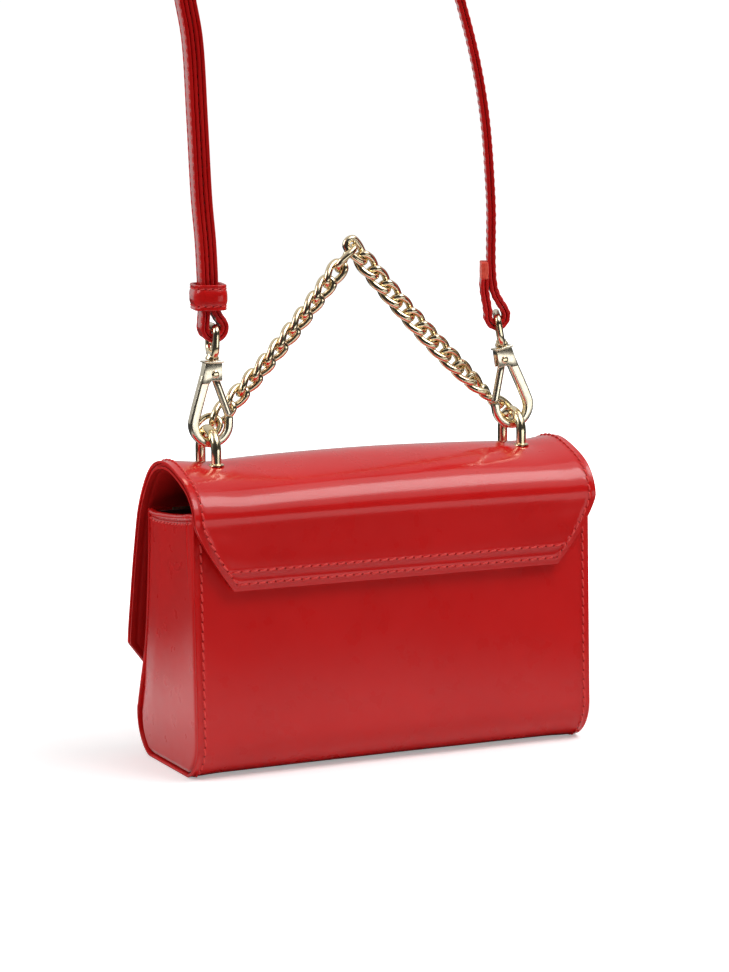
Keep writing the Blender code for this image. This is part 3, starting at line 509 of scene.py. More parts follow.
def add_stitches(name, rows, paint, body, **options):
    """One piece for several rows of stitches: the threads, and dark discs of painted shade where they go
    into the leather.
    """
    made = [stitch_parts(row, **options) for row in rows]
    verts, faces = joined(*[threads for threads, _ in made])
    count = len(faces)
    verts, faces = joined((verts, faces), *[holes for _, holes in made])
    mesh = bpy.data.meshes.new(name)
    mesh.from_pydata([tuple(c * MM for c in v) for v in verts], [], faces)
    mesh.materials.append(paint["thread"])
    mesh.materials.append(paint["hole_shade"])
    mesh.polygons.foreach_set("material_index", [int(i >= count) for i in range(len(faces))])
    outwards(mesh)
    mesh.shade_smooth()
    obj = in_scene(name, mesh)
    return finish_piece(obj, body, "red_leather")


# ---- shells: walls and flap


class Shell:
    """A sheet that is straight along X: an outer path in Y and Z, a half width and a relief over it."""

    def __init__(self, path, half_width, relief):
        points = np.array([tuple(p) for p in path])
        self.points = points
        self.along = np.concatenate([[0], np.cumsum(np.linalg.norm(np.diff(points, axis=0), axis=1))])
        tangents = np.gradient(points, self.along, axis=0)
        tangents /= np.linalg.norm(tangents, axis=1)[:, None]
        self.normals = np.stack([-tangents[:, 1], tangents[:, 0]], axis=1)
        self.half_width = half_width
        self.relief = relief
        self.length = self.along[-1]

    def flat(self, s):
        """(y, z, normal y, normal z) at the distance s along the path."""
        columns = (self.points[:, 0], self.points[:, 1], self.normals[:, 0], self.normals[:, 1])
        return [float(np.interp(s, self.along, column)) for column in columns]

    def point(self, x, s, lift=0.0):
        y, z, ny, nz = self.flat(s)
        raised = lift - self.relief(x, s, self.half_width(s))
        return Vector((x, y - ny * raised, z - nz * raised))

    def outward(self, s):
        _, _, ny, nz = self.flat(s)
        return Vector((0, -ny, -nz))

    def height(self, x, y):
        """Z of the dome's surface over a place."""
        around = [self.point(x, s) for s in np.linspace(self.crest - 30, self.crest + 30, 121)]
        return min(around, key=lambda p: abs(p.y - y)).z

    def row(self, x, start, end, step=0.8):
        """(point, outward normal) along the shell at a distance x, or at x(s)."""
        found = []
        for s in np.linspace(start, end, max(int(abs(end - start) / step), 2)):
            place = x(s) if callable(x) else x
            found.append((self.point(place, s), self.outward(s)))
        return found

    def cross_row(self, s, low, high, step=1.0):
        places = np.linspace(low, high, int((high - low) / step))
        return [(self.point(x, s), self.outward(s)) for x in places]

    def grid(self, stations, columns=44, margin=0.0, depth=0.0):
        edge = [0, 0.5, 1.1, 1.7, 2.3, 2.9, 3.5, 4.1, 4.8, 5.8, 7.2, 9]
        rows = []
        for s in stations:
            half = self.half_width(s) - margin
            inner = list(np.linspace(-(half - 9), half - 9, columns))
            xs = [-half + e for e in edge[:-1]] + inner + [half - e for e in edge[-2::-1]]
            rows.append([self.point(x, s, -depth) for x in xs])
        return rows


def gauss(distance, width):
    return math.exp(-((distance / width) ** 2))


def smooth_share(value, low, high):
    t = min(max((value - low) / (high - low), 0), 1)
    return t * t * (3 - 2 * t)


def ripple(x, s):
    """The leather's slow unevenness."""
    slow = math.sin(x / 29 + 1.3) * math.sin(s / 27 + 0.4) + 0.6 * math.sin(x / 41 - s / 36)
    return 0.10 * slow + 0.02 * math.sin(x / 9.3 + 2.1 + math.sin(s / 13)) * math.sin(s / 8.1)


def front_y(z):
    share = 1 - (z - CORNER) / (FRONT_HEIGHT - CORNER)
    return -(FRONT_WAIST + FRONT_FLARE * max(share, 0) ** FLARE_POWER)


def wall_path():
    front = [Vector((front_y(z), z)) for z in np.linspace(FRONT_HEIGHT, CORNER + 3, 40)]
    low_front = arc((FRONT_CORNER_Y, CORNER), CORNER, 173, 270, 30)
    low_back = arc((BACK_CORNER_Y, CORNER), CORNER, 270, 360, 30)
    foot = Vector((BACK_CORNER_Y + CORNER, CORNER))
    top = Vector((BACK_CORNER_Y + CORNER - BACK_LEAN, BACK_HEIGHT))
    base = [low_front[-1].lerp(low_back[0], t) for t in np.linspace(0.05, 0.95, 12)]
    return front + low_front + base + low_back + [foot.lerp(top, t) for t in np.linspace(0.02, 1, 50)]


def wall_relief(x, s, half):
    edge = half - abs(x)
    seam = -0.30 * gauss(edge - 3.3, 0.8) - 0.25 * gauss(edge, 0.9)
    puff = 0.5 * smooth_share(edge, 3.5, 16)
    return seam + puff + ripple(x, s) * smooth_share(edge, 2, 14) - 0.5


def stations(length, fine_start=12, fine_end=12, step=1.6):
    """Distances along a shell, closer together near both its ends."""
    low = list(np.arange(0, fine_start, 0.6))
    middle = list(np.linspace(fine_start, length - fine_end, int((length - fine_start - fine_end) / step)))
    return low + middle + list(length - np.arange(0, fine_end, 0.6)[::-1])[1:]


def wall_half_width(s):
    """The front's sides tuck in behind the gussets' rounded front edges."""
    return HALF_WIDTH - FRONT_TUCK * (1 - smooth_share(s, 60, 100))


def above_floor(point, low):
    return Vector((point.x, point.y, max(point.z, low)))


def make_walls(paint):
    shell = Shell(wall_path(), wall_half_width, wall_relief)
    grid = [[above_floor(p, 0.05) for p in row] for row in shell.grid(stations(shell.length))]
    wall = sheet("wall_leather", grid, SKIN, paint["leather"], paint["edge"], 0.55)
    finish_piece(wall, "body", "red_leather", "wrap_panel")
    rows = []
    for sign in SIDES.values():
        for start, end in ((4, 117), (shell.length - 126, shell.length - 4)):
            rows.append(shell.row(lambda s, sign=sign: sign * (shell.half_width(s) - 3.3), start, end))
    add_stitches("wall_stitches", rows, paint, "body", pitch=4.3)
    return shell


def gusset_bounds(z):
    """Front and back edges of a gusset at a height, inside the walls' turned edges."""
    depth = 1.75
    front_depth = 1.75 - 1.65 * smooth_share(z, 14, 40)
    if z < CORNER:
        reach = math.sqrt(max((CORNER - depth) ** 2 - (CORNER - z) ** 2, 0.0))
        return FRONT_CORNER_Y - reach, BACK_CORNER_Y + reach
    back = BACK_CORNER_Y + CORNER - BACK_LEAN * (z - CORNER) / (BACK_HEIGHT - CORNER) - depth
    return front_y(z) + front_depth, back


def gusset_top(y):
    points = sorted(centripetal(GUSSET_TOP, 6), key=lambda p: p.x)
    return float(np.interp(y, [p.x for p in points], [p.y for p in points]))


def gusset_x(y, z, front, back):
    """How far out a gusset's face is: it rounds in at its edges, and two creases run down near the back."""
    edge = min(y - front, back - y, z - 1.7)
    rounding = 1.4 * (1 - smooth_share(edge, -0.2, 2.4))
    hollow = 0.9 * math.sin(math.pi * (y - front) / max(back - front, 1)) * smooth_share(z, 25, 80)
    turn = 1.1 * (1 - smooth_share(y - front, 0, 17)) * smooth_share(z, 8, 40)
    groove = 0.55 * gauss(z - gusset_top(y) + 4.1, 0.7)
    fade = smooth_share(z, 78, 112)
    ridges = 0.75 * gauss(back - y - 4.6 - 0.02 * (120 - z), 0.7)
    ridges += 0.6 * gauss(back - y - 8.6 + 0.05 * (120 - z), 0.8)
    inwards = rounding + hollow + turn + groove
    return GUSSET_FACE + 0.5 - inwards + fade * ridges + 0.5 * ripple(y * 1.6 + 9, z)


def gusset_grid(sign):
    """Points of a gusset's face, closer together at its edges; the upper rows bend to its top line."""
    heights = list(np.linspace(1.8, 5, 10)) + list(np.linspace(5.8, CORNER, 14))
    heights += list(np.linspace(20.5, 104, 56)) + list(np.linspace(104.8, 116, 20))
    across = [0, 0.01, 0.025, 0.045, 0.07] + list(np.linspace(0.1, 0.9, 66)) + [0.93, 0.955, 0.975, 0.99, 1]
    grid = []
    for z in heights:
        share = (z - heights[0]) / (heights[-1] - heights[0])
        front, back = gusset_bounds(z)
        row = []
        for u in across:
            y = front + (back - front) * u
            top = gusset_top(y) - 1.2
            high = z + (top - heights[-1]) * share**4
            row.append(Vector((sign * gusset_x(y, high, front, back), y, high)))
        grid.append(row[::-1] if sign > 0 else row)
    return grid


def gusset_row(sign, inset, below_top, out):
    """Points along a gusset's top, at a distance below its top line; inset is from its front and back."""
    front, back = gusset_bounds(116)
    row = []
    for y in np.linspace(front + inset[0], back - inset[1], 60):
        high = gusset_top(y) - below_top
        row.append(Vector((sign * (gusset_x(y, high, front, back) + out), y, high)))
    return row


def hem_section(t):
    """The hem's roll, thinner at both its ends."""
    radius = 1.45 * (0.6 + 0.4 * min(1, 12 * t, 12 * (1 - t)))
    return [(a, b * 1.25) for a, b in circle(radius, 14)]


def make_gussets(paint):
    for side, sign in SIDES.items():
        face = sheet(f"gusset_leather_{side}", gusset_grid(sign), 1.3, paint["leather"], paint["edge"], 0.3)
        finish_piece(face, "body", "red_leather", f"gusset_{side}")
        line = gusset_row(sign, (-0.2, -0.6), 2.0, -0.5)
        hem = sweep(line, hem_section, binormal=(1, 0, 0))
        roll = add_piece(f"gusset_hem_{side}", *hem, paint["leather"])
        finish_piece(roll, "body", "red_leather")
        row = [(point, Vector((sign, 0, 0))) for point in gusset_row(sign, (1, 1), 5.2, 0.05)]
        add_stitches(f"gusset_stitches_{side}", [row], paint, "body", pitch=3.9, size=0.32)


def make_lining(paint):
    """The cloth bag inside, and the boards between it and the leather."""
    path = [Vector((p.x, p.y)) for p in wall_path()]
    relief = lambda x, s, half: 0.5 * ripple(x * 1.7, s * 1.4) - 0.2
    shell = Shell(path, lambda s: LINING_FACE + 1.4, relief)
    places = np.linspace(1, shell.length - 0.8, 120)
    cloth = sheet("lining_cloth", shell.grid(places, 40, 0, 3.2), 0.7, paint["lining"], None, 0.2)
    finish_piece(cloth, "body", "lining_cloth", "lining")
    for side, sign in SIDES.items():
        grid = []
        for z in np.linspace(3.8, 114, 50):
            front, back = gusset_bounds(z)
            ys = np.linspace(front + 2, back - 2, 30)
            row = [Vector((sign * (LINING_FACE + 0.4 * ripple(y * 2, z)), y, z)) for y in ys]
            grid.append(row[::-1] if sign > 0 else row)
        panel = sheet(f"lining_side_{side}", grid, 0.7, paint["lining"], None, 0.2)
        finish_piece(panel, "body", "lining_cloth")
    dress(("front_board", "base_board", "back_board"), paint["board"])


def flap_half_width(z, on_back):
    (high, wide), (low, narrow) = BACK_CHAMFER if on_back else FRONT_CHAMFER
    share = min(max((high - z) / (high - low), 0), 1)
    return wide + (narrow - wide) * (share**1.3 if on_back else share)


class FlapShell(Shell):
    """The flap's outer face, with its stitched edges, its sag between the staples and its creases."""

    def __init__(self):
        path = centripetal(FLAP_TAIL + FLAP_OUTLINE, 14)
        super().__init__(path, self.width_at, self.flap_relief)
        self.crest = self.along[int(np.argmax(self.points[:, 1]))]

    def width_at(self, s):
        y, z, _, _ = self.flat(s)
        return flap_half_width(z, y > 0)

    def flap_relief(self, x, s, half):
        edge = half - abs(x)
        end = self.length - s
        low = min(s, end)
        pucker = 1 + 0.4 * math.cos(2 * math.pi * s / 3.9)
        dips = 1.2 * gauss(edge - 3.5, 0.9) * smooth_share(low, 1.5, 4) * pucker
        dips += gauss(s - 3.2, 0.75) * smooth_share(edge, 2, 4)
        dips += gauss(s - 9.0, 0.75) * smooth_share(edge, 2, 4)
        dips += gauss(end - 3.5, 0.75) * smooth_share(edge, 2, 4)
        puff = 0.7 * smooth_share(edge, 3.8, 18) * smooth_share(s, 9.5, 24) * smooth_share(end, 4, 18)
        puff += 0.25 * smooth_share(edge, 3.8, 7) * gauss(s - 6.1, 1.7)
        near_crest = gauss(s - self.crest, 34)
        inside = min(abs(x) / STAPLE_X, 1)
        sag = 1.9 * (1 - inside**2) + 0.8 * max(abs(x) - STAPLE_X, 0) / 23
        y, _, _, _ = self.flat(s)
        pull = 0.0
        for foot in (STAPLE_ARCH, -STAPLE_ARCH):
            reach = math.hypot(abs(x) - STAPLE_X, y - foot)
            pull = max(pull, 0.75 * gauss(reach, 6.5))
        folds = 0.0
        if x > 0:
            for start, lean, size in STAPLE_FOLDS:
                across = (x - start) - lean * (self.crest - s - 12)
                folds += size * gauss(across, 1.6) * gauss(self.crest - s - 19, 9)
        else:
            for start, size in CROSS_FOLDS:
                across = (self.crest - s - start) - 0.16 * (STAPLE_X + x)
                folds -= size * gauss(across, 1.5) * gauss(x + 60, 16)
        waves = ripple(x, s) * smooth_share(edge, 3, 16) * smooth_share(low, 8, 22)
        return puff - 0.28 * dips - (sag - pull) * near_crest + folds + 1.3 * waves


def make_flap(paint):
    shell = FlapShell()
    places = stations(shell.length, 14, 10)
    skin = sheet("flap_leather", shell.grid(places, 60), 1.3, paint["leather"], paint["edge"], 0.5)
    finish_piece(skin, None, "red_leather", "flap_tail", "flap_skin")
    under = shell.grid(places, 30, 0.15, 2.7)
    inner = sheet("flap_inner_leather", under, 1.0, paint["inner"], paint["edge"], 0.4)
    finish_piece(inner, None, "red_leather", "flap_lining")
    core = sheet("flap_core", shell.grid(places[2:-2], 20, 0.9, 1.45), 1.1, paint["edge"], None, 0.2)
    finish_piece(core, None, "board", "flap_board")
    edges = []
    for sign in SIDES.values():
        seam = lambda s, sign=sign: sign * (shell.width_at(s) - FLAP_SEAM)
        edges.append(shell.row(seam, 3.4, shell.length - 3.6))
    low = shell.width_at(3.2) - 5
    rows = [shell.cross_row(3.2, -low, low), shell.cross_row(9.0, -low - 4, low + 4)]
    front = shell.width_at(shell.length - FLAP_SEAM) - 5
    rows.append(shell.cross_row(shell.length - FLAP_SEAM, -front, front))
    add_stitches("flap_tail_stitches", rows[:2], paint, "body", pitch=4.2)
    add_stitches("flap_front_stitches", rows[2:], paint, "flap")
    edge_rows = add_stitches("flap_edge_stitches", edges, paint, None, pitch=3.9)
    for piece in (skin, inner, core, edge_rows):
        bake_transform(piece)
    return shell


# ---- metal on the flap


def make_staples(shell, paint):
    collar = [(2.3, 0), (3.3, 0.05), (3.62, 0.35), (3.5, 0.75), (3.0, 1.0), (2.75, 1.25), (2.4, 1.35)]
    head = [(1.6, 0.0), (3.0, 0.2), (3.6, 0.9), (3.5, 1.8), (2.4, 2.0)]
    for side, sign in SIDES.items():
        x = sign * STAPLE_X
        bend = arc((0, STAPLE_Z), STAPLE_ARCH, 0, 180, 32)
        legs = [Vector((STAPLE_ARCH, z)) for z in (129.4, 133, 137, 141, 144)]
        path = legs + bend + [Vector((-p.x, p.y)) for p in legs[::-1]]
        parts = [sweep([(x, p.x, p.y) for p in path], circle(STAPLE_WIRE, 24))]
        for foot in (STAPLE_ARCH, -STAPLE_ARCH):
            parts.append(lathe(collar, Matrix.Translation((x, foot, shell.height(x, foot) - 0.15)), 36))
            parts.append(lathe(head, Matrix.Translation((x, foot, 128.4)), 24))
        staple = add_piece(f"staple_wire_{side}", *joined(*parts), paint["gold"])
        finish_piece(staple, "flap", "pale_gold", f"staple_{side}")


def dress(nodes, material, bevel=0.0):
    """A CAD node that stays gets its material, and rounded edges."""
    for name in nodes:
        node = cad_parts[name]
        node.data.materials.clear()
        node.data.materials.append(material)
        if bevel:
            round_edges(node, bevel, 2, 50)


def make_snap(paint):
    rise = (front_y(SNAP_HEIGHT + 1) - front_y(SNAP_HEIGHT - 1)) / 2
    socket_place = facing((0, front_y(SNAP_HEIGHT), SNAP_HEIGHT), (0, -1, rise))
    socket = [(6.6, 0.45), (7.0, 0.7), (7.0, 2.6), (6.3, 3.4), (4.2, 3.65), (3.9, 3.0), (0.6, 2.9)]
    made = add_piece("snap_socket_cup", *lathe(socket, socket_place), paint["steel"])
    finish_piece(made, "body", "steel", "snap_socket")
    stud_place = facing((0, SNAP_STUD_Y, SNAP_HEIGHT), (0, 1, 0))
    stud = [(6.6, 0.0), (7.0, 0.3), (7.0, 1.2), (6.2, 1.6), (3.6, 1.7), (3.3, 3.0), (2.8, 3.3), (0.4, 3.3)]
    made = add_piece("snap_stud_post", *lathe(stud, stud_place), paint["steel"])
    finish_piece(made, "flap", "steel", "snap_stud")
    flat_parts = ("snap_socket_washer", "snap_stud_washer", "staple_plate_left", "staple_plate_right")
    dress(flat_parts, paint["steel"], 0.15)


# ---- chain


def chain_run(sign):
    anchor = Vector((
        sign * STAPLE_X,
        -STAPLE_ARCH * math.sin(CHAIN_LEAN),
        STAPLE_Z + STAPLE_ARCH * math.cos(CHAIN_LEAN),
    ))
    run = []
    for i in range(21):
        t = i / 20
        point = anchor.lerp(CHAIN_TOP, t)
        point.z -= CHAIN_SAG * 4 * t * (1 - t)
        run.append(point)
    return run


def point_along(path, distance):
    for a, b in zip(path, path[1:]):
        step = (b - a).length
        if distance <= step:
            return a.lerp(b, distance / step)
        distance -= step
    return path[-1]


def run_places(sign, count, top):
    run = chain_run(sign)
    first = LINK_HALF_LENGTH - STAPLE_WIRE - LINK_WIRE - 0.3
    length = sum((b - a).length for a, b in zip(run, run[1:]))
    places = []
    for i in range(count):
        distance = first + (length - top - first) * i / (count - 1)
        ahead = point_along(run, distance + 1) - point_along(run, distance - 1)
        places.append((point_along(run, distance), ahead.normalized()))
    return places


def chain_axes(direction):
    across = Vector((0, 1, 0)).cross(direction).normalized()
    return across, direction.cross(across)


def end_link_roll(direction):
    radial = Vector((0, -math.sin(CHAIN_LEAN), math.cos(CHAIN_LEAN)))
    across, facing_way = chain_axes(direction)
    return math.atan2(radial.dot(facing_way), radial.dot(across))


def half_turn(angle):
    return (angle + math.pi / 2) % math.pi - math.pi / 2


def link_rolls(places):
    """Roll of each link's plane at its start and its end."""
    first, last = end_link_roll(places[0][1]), end_link_roll(places[-1][1])
    near = half_turn(first + math.pi / 2 - LINK_TWIST)
    far = half_turn(last + math.pi / 2 + LINK_TWIST)
    twisted = len(places) - 2
    rolls = [[first, first]]
    for number in range(twisted):
        from_near = max(1 - number / TURNING_LINKS, 0)
        from_far = max(1 - (twisted - 1 - number) / TURNING_LINKS, 0) ** LATE_TURN
        roll = near * from_near + far * from_far
        rolls.append([roll + LINK_TWIST, roll - LINK_TWIST])
    rolls.append([last, last])
    rolls[LEFT_LINKS - 1][1] = math.pi / 2
    rolls[LEFT_LINKS][0] = 0
    return rolls


def link_ring(centre, direction, half_width, start, end, steps=44):
    across, facing_way = chain_axes(direction)
    straight = LINK_HALF_LENGTH - half_width
    ring = []
    for i in range(steps):
        angle = 2 * math.pi * i / steps
        reach = max(min(1.6 * math.cos(angle), 1), -1)
        along = straight * reach + half_width * math.cos(angle)
        out = half_width * math.sin(angle)
        turn = start + (end - start) * (1 + along / LINK_HALF_LENGTH) / 2
        outwards_way = across * math.cos(turn) + facing_way * math.sin(turn)
        ring.append(centre + direction * along + out * outwards_way)
    return ring


def make_chain(paint):
    left = run_places(1, LEFT_LINKS, LINK_HALF_LENGTH)
    right = run_places(-1, RIGHT_LINKS, LINK_HALF_LENGTH - LINK_HALF_WIDTH)
    places = left + [(centre, -direction) for centre, direction in right[::-1]]
    for number, ((centre, direction), rolls) in enumerate(zip(places, link_rolls(places))):
        end = number in (0, len(places) - 1)
        if 1 < number < LEFT_LINKS - 1:
            share = smooth_share(number, 1, 4) * (1 - smooth_share(number, LEFT_LINKS - 4, LEFT_LINKS - 1))
            rolls = [roll + LEFT_ROLL * share for roll in rolls]
        ring = link_ring(centre, direction, END_HALF_WIDTH if end else FULL_HALF_WIDTH, *rolls)
        wire = circle(LINK_WIRE if end else FULL_WIRE, 16)
        link = add_piece(f"link_{number + 1:02d}", *sweep(ring, wire, closed=True), paint["gold"])
        finish_piece(link, "chain", "pale_gold", f"chain_link_{number + 1:02d}")


# ---- swivel clips


def clip_frame(side):
    sign, lean = SIDES[side], CLIP_LEAN[side]
    up = Vector((-sign * math.sin(lean), 0, math.cos(lean)))
    out = Vector((sign * math.cos(lean), 0, math.sin(lean)))
    turn = Matrix([out, up, out.cross(up)]).transposed().to_4x4()
    return Matrix.Translation((sign * STAPLE_X, CLIP_Y, CLIP_FOOT)) @ turn


def clip_axis(place, w):
    """A matrix on the clip's long axis, at the height w, with its Z up the clip."""
    return place @ Matrix.Translation((0, w, 0)) @ Matrix.Rotation(-math.pi / 2, 4, "X")


def bevelled(obj, width, segments=3, degrees=30):
    round_edges(obj, width, segments, degrees)
    bake(obj)
    obj.data.shade_smooth()
    obj.data.set_sharp_from_angle(angle=math.radians(32))
    return obj


def prism(outline, half, place):
    """Verts and faces of a (u, w) outline, thickened by half each way."""
    n = len(outline)
    verts = [place @ Vector((u, w, s * half)) for s in (-1, 1) for u, w in outline]
    faces = [tuple(range(n))[::-1], tuple(range(n, 2 * n))]
    faces += [(i, (i + 1) % n, n + (i + 1) % n, n + i) for i in range(n)]
    return verts, faces


def cut(obj, verts, faces):
    cutter = add_piece("cutter", verts, faces, obj.data.materials[0])
    modifier = obj.modifiers.new("cut", "BOOLEAN")
    modifier.operation = "DIFFERENCE"
    modifier.object = cutter
    bpy.context.view_layer.update()
    bake(obj)
    bpy.data.objects.remove(cutter)
    return obj


def hook_section(t):
    """Eight-sided bar, flat on its faces, that gets slimmer and rounder towards the bend and the tip."""
    a = 2.3 - 0.45 * smooth_share(t, 0.1, 0.36)
    b = 2.2
    corner = 0.7 + 0.3 * smooth_share(t, 0.3, 0.6)
    upper = [(a, b - corner), (a - corner, b), (corner - a, b), (-a, b - corner)]
    return upper + [(-x, -y) for x, y in upper]


def make_hook(side, paint):
    place = clip_frame(side)
    path = [Vector((3.3, 30.5)), Vector((4.0, 27.5)), Vector((5.6, 21.6)), Vector((7.2, 15.6))]
    path += arc((0, 8.6), 8.6, 14, -180, 40) + [Vector((-8.6, z)) for z in (9.6, 10.8, 12.2)]
    points = [place @ Vector((*p, 0)) for p in path]
    swept = sweep(points, hook_section, binormal=place.col[2].xyz)
    bar = add_piece(f"clip_bar_{side}", *swept, paint["champagne"])
    bevelled(bar, 0.22, 2)
    finish_piece(bar, f"hook_{side}", "pale_gold", f"hook_{side}")
    outline = [(-4.4, 28.6), (-4.2, 36.8), (4.0, 36.8), (5.7, 27.2), (1.8, 27.2), (0.9, 28.6)]
    cap = add_piece(f"clip_cap_{side}", *prism(outline, 2.35, place), paint["champagne"])
    slot = [(-9, 20), (-9, 34.5), (2.4, 34.5), (2.4, 20)]
    cut(cap, *prism(slot, 1.35, place))
    bevelled(cap, 0.4)
    lip = [(-4.9, 36.85), (-4.9, 37.7), (4.8, 37.7), (4.8, 36.85)]
    top = bevelled(add_piece(f"clip_lip_{side}", *prism(lip, 2.75, place), paint["champagne"]), 0.28)
    for piece in (cap, top):
        finish_piece(piece, f"hook_{side}", "pale_gold")
    heads = []
    for way in (1, -1):
        head = [(1.72, 0.0), (1.72, 0.35), (1.5, 0.62), (1.0, 0.74), (0.15, 0.78)]
        at = place @ Vector((*RIVET, way * 2.35))
        heads.append(lathe(head, facing(at, place.col[2].xyz * way), 32))
    rivet = add_piece(f"clip_rivet_{side}", *joined(*heads), paint["gold"])
    finish_piece(rivet, f"hook_{side}", "pale_gold", f"gate_rivet_{side}")
    dress((f"gate_spring_{side}",), paint["steel"])


def gate_section(t):
    thick = 1.1 + 0.75 * smooth_share(t, 0.16, 0.30)
    wide = 1.75
    return [(wide * math.cos(a), thick * math.sin(a)) for a in np.linspace(0, 2 * math.pi, 21)[:-1]]


def make_gate(side, paint):
    place = clip_frame(side)
    start, end = RIVET, Vector((-8.45, 12.7))
    points = [place @ Vector((*start.lerp(end, t), 0)) for t in np.linspace(-0.09, 1, 24)]
    swept = sweep(points, gate_section, binormal=place.col[2].xyz)
    gate = add_piece(f"clip_gate_{side}", *swept, paint["champagne"])
    bevelled(gate, 0.3, 2, 60)
    finish_piece(gate, f"gate_{side}", "pale_gold", f"gate_{side}")


def make_eye(side, paint):
    place = clip_frame(side)
    turn = Matrix.Rotation(-STRAP_TWIST[side], 4, "Z")
    half, low, high = EYE_HALF_WIDTH, EYE_LOW, EYE_BAR
    outline = arc((half - 3, high - 3), 3, 0, 90, 9)
    outline += arc((3 - half, high - 3), 3, 90, 180, 9)
    outline += arc((4.5 - half, low + 4.5), 4.5, 180, 270, 10)
    outline += arc((half - 4.5, low + 4.5), 4.5, 270, 360, 10)
    path = [clip_axis(place, p.y) @ turn @ Vector((0, p.x, 0)) for p in outline]
    ring = sweep(path, circle(EYE_WIRE, 20), closed=True)
    collar = [(2.9, 0.0), (3.2, 0.3), (3.1, 1.2), (2.5, 2.0), (2.3, 2.9)]
    post = lathe(collar, clip_axis(place, 38.1), 36)
    stem = lathe([(1.2, 0), (1.2, 4.5)], clip_axis(place, 35), 24)
    eye = add_piece(f"clip_eye_{side}", *joined(ring, post, stem), paint["gold"])
    finish_piece(eye, "strap", "pale_gold", f"swivel_eye_{side}")


# ---- strap


def strap_width(x):
    share = min(max((STAPLE_X - x) / (2 * STAPLE_X), 0), 1)
    twist = STRAP_TWIST["left"] + (STRAP_TWIST["right"] - STRAP_TWIST["left"]) * share
    return Vector((math.sin(twist), math.cos(twist), 0))


def loop_points(side):
    centre = clip_frame(side) @ Vector((0, EYE_BAR, 0))
    return arc(centre.xz, LOOP_RADIUS, 165, 375, 10)


def strap_line():
    pair = [Vector(p) for p in LEFT_RUN + LEFT_TOP]
    step = Vector((RUN_OFFSET, 0))
    left = [p - step for p in pair][::-1] + loop_points("left") + [p + step for p in pair]
    foot = Vector(RIGHT_RUN[-1])
    end = [foot + Vector((TAIL_STEP, 0)), Vector((foot.x + TAIL_STEP, TAIL_TOP))]
    knots = left + [Vector(p) for p in ARCH + RIGHT_RUN] + loop_points("right") + end
    return centripetal(knots, 6)


def strap_frame(line):
    """(middle, normal, width direction) at each point of the line."""
    frames = []
    for i, point in enumerate(line):
        ahead = (line[min(i + 1, len(line) - 1)] - line[max(i - 1, 0)]).normalized()
        width = strap_width(point.x)
        frames.append((point, Vector((ahead.y, -ahead.x)) / width.y, width))
    return frames


def strap_point(place, across, depth):
    point, normal, width = place
    moved = point + normal * depth
    return Vector((moved.x, CLIP_Y, moved.y)) + width * across


def make_strap(paint):
    line = strap_line()
    places = strap_frame(line)
    half = STRAP_WIDTH / 2
    offset = (PLY + PLY_GAP) / 2
    steps = (0, 0.5, 1.2, 2.0, 2.8, half - 3)
    columns = [step - half for step in steps] + [0] + [half - step for step in steps[::-1]]
    for name, way, node in (("strap_outer_ply", 1, "strap_face"), ("strap_inner_ply", -1, "strap_backing")):
        grid = []
        for place in places:
            row = []
            for c in columns:
                dip = 0.16 * gauss(half - abs(c) - 2.1, 0.6) - 0.10 * smooth_share(half - abs(c), 2.2, 5)
                row.append(strap_point(place, c, way * (offset - dip)))
            grid.append(row)
        ply = sheet(name, grid, PLY, paint["leather"], paint["edge"], 0.5, offset=0)
        finish_piece(ply, "strap", "red_leather", node)
    rows = []
    lift = offset + PLY / 2
    for way in (1, -1):
        for edge in (1, -1):
            row = []
            for place in places[2:-2]:
                normal = Vector((place[1].x, 0, place[1].y)).normalized()
                row.append((strap_point(place, edge * (half - 2.1), way * (lift - 0.1)), normal * way))
            rows.append(row)
    add_stitches("strap_stitches", rows, paint, "strap", pitch=4.0, size=0.3)
    make_tab(paint)
    make_stud(paint)


def make_tab(paint):
    """The strap's unfinished end: bare fibres above the painted part."""
    x = RIGHT_RUN[-1][0] + TAIL_STEP
    zs = np.linspace(TAIL_TOP + 0.2, TAB_TOP, 9)
    grid = []
    for i, z in enumerate(zs):
        row = []
        for c in np.linspace(-7.4, 7.4, 17):
            fray = 0.35 * math.sin(c * 5.3) * smooth_share(i, 6, 8)
            wave = 0.12 * math.sin(c * 2.1 + z)
            row.append(Vector((x + wave, CLIP_Y, z - 0.4 + fray)) + strap_width(x) * c)
        grid.append(row)
    tab = sheet("strap_raw_end", grid, 2 * PLY, paint["raw"], None, 0.5, offset=0)
    finish_piece(tab, "strap", "raw_edge", "strap_end_tab")


def make_stud(paint):
    line = centripetal(LEFT_RUN + LEFT_TOP, 8)
    below = [p for p in line if p.y < STUD_HEIGHT][-1]
    above = [p for p in line if p.y >= STUD_HEIGHT][0]
    ahead = Vector((above.x - below.x, 0, above.y - below.y))
    normal = strap_width(below.x).cross(ahead)
    half = RUN_OFFSET + PLY + PLY_GAP / 2 + 0.3
    parts = []
    for way in (1, -1):
        head = [(3.5, 0.0), (3.75, 0.3), (3.6, 0.8), (2.9, 1.2), (1.6, 1.45), (0.2, 1.5)]
        at = Vector((below.x, CLIP_Y, STUD_HEIGHT)) + normal.normalized() * way * half
        parts.append(lathe(head, facing(at, normal * way), 36))
    stem = [(1.9, -half), (1.9, half)]
    parts.append(lathe(stem, facing((below.x, CLIP_Y, STUD_HEIGHT), normal), 24))
    stud = add_piece("strap_stud_heads", *joined(*parts), paint["gold"])
    finish_piece(stud, "strap", "pale_gold", "strap_stud")


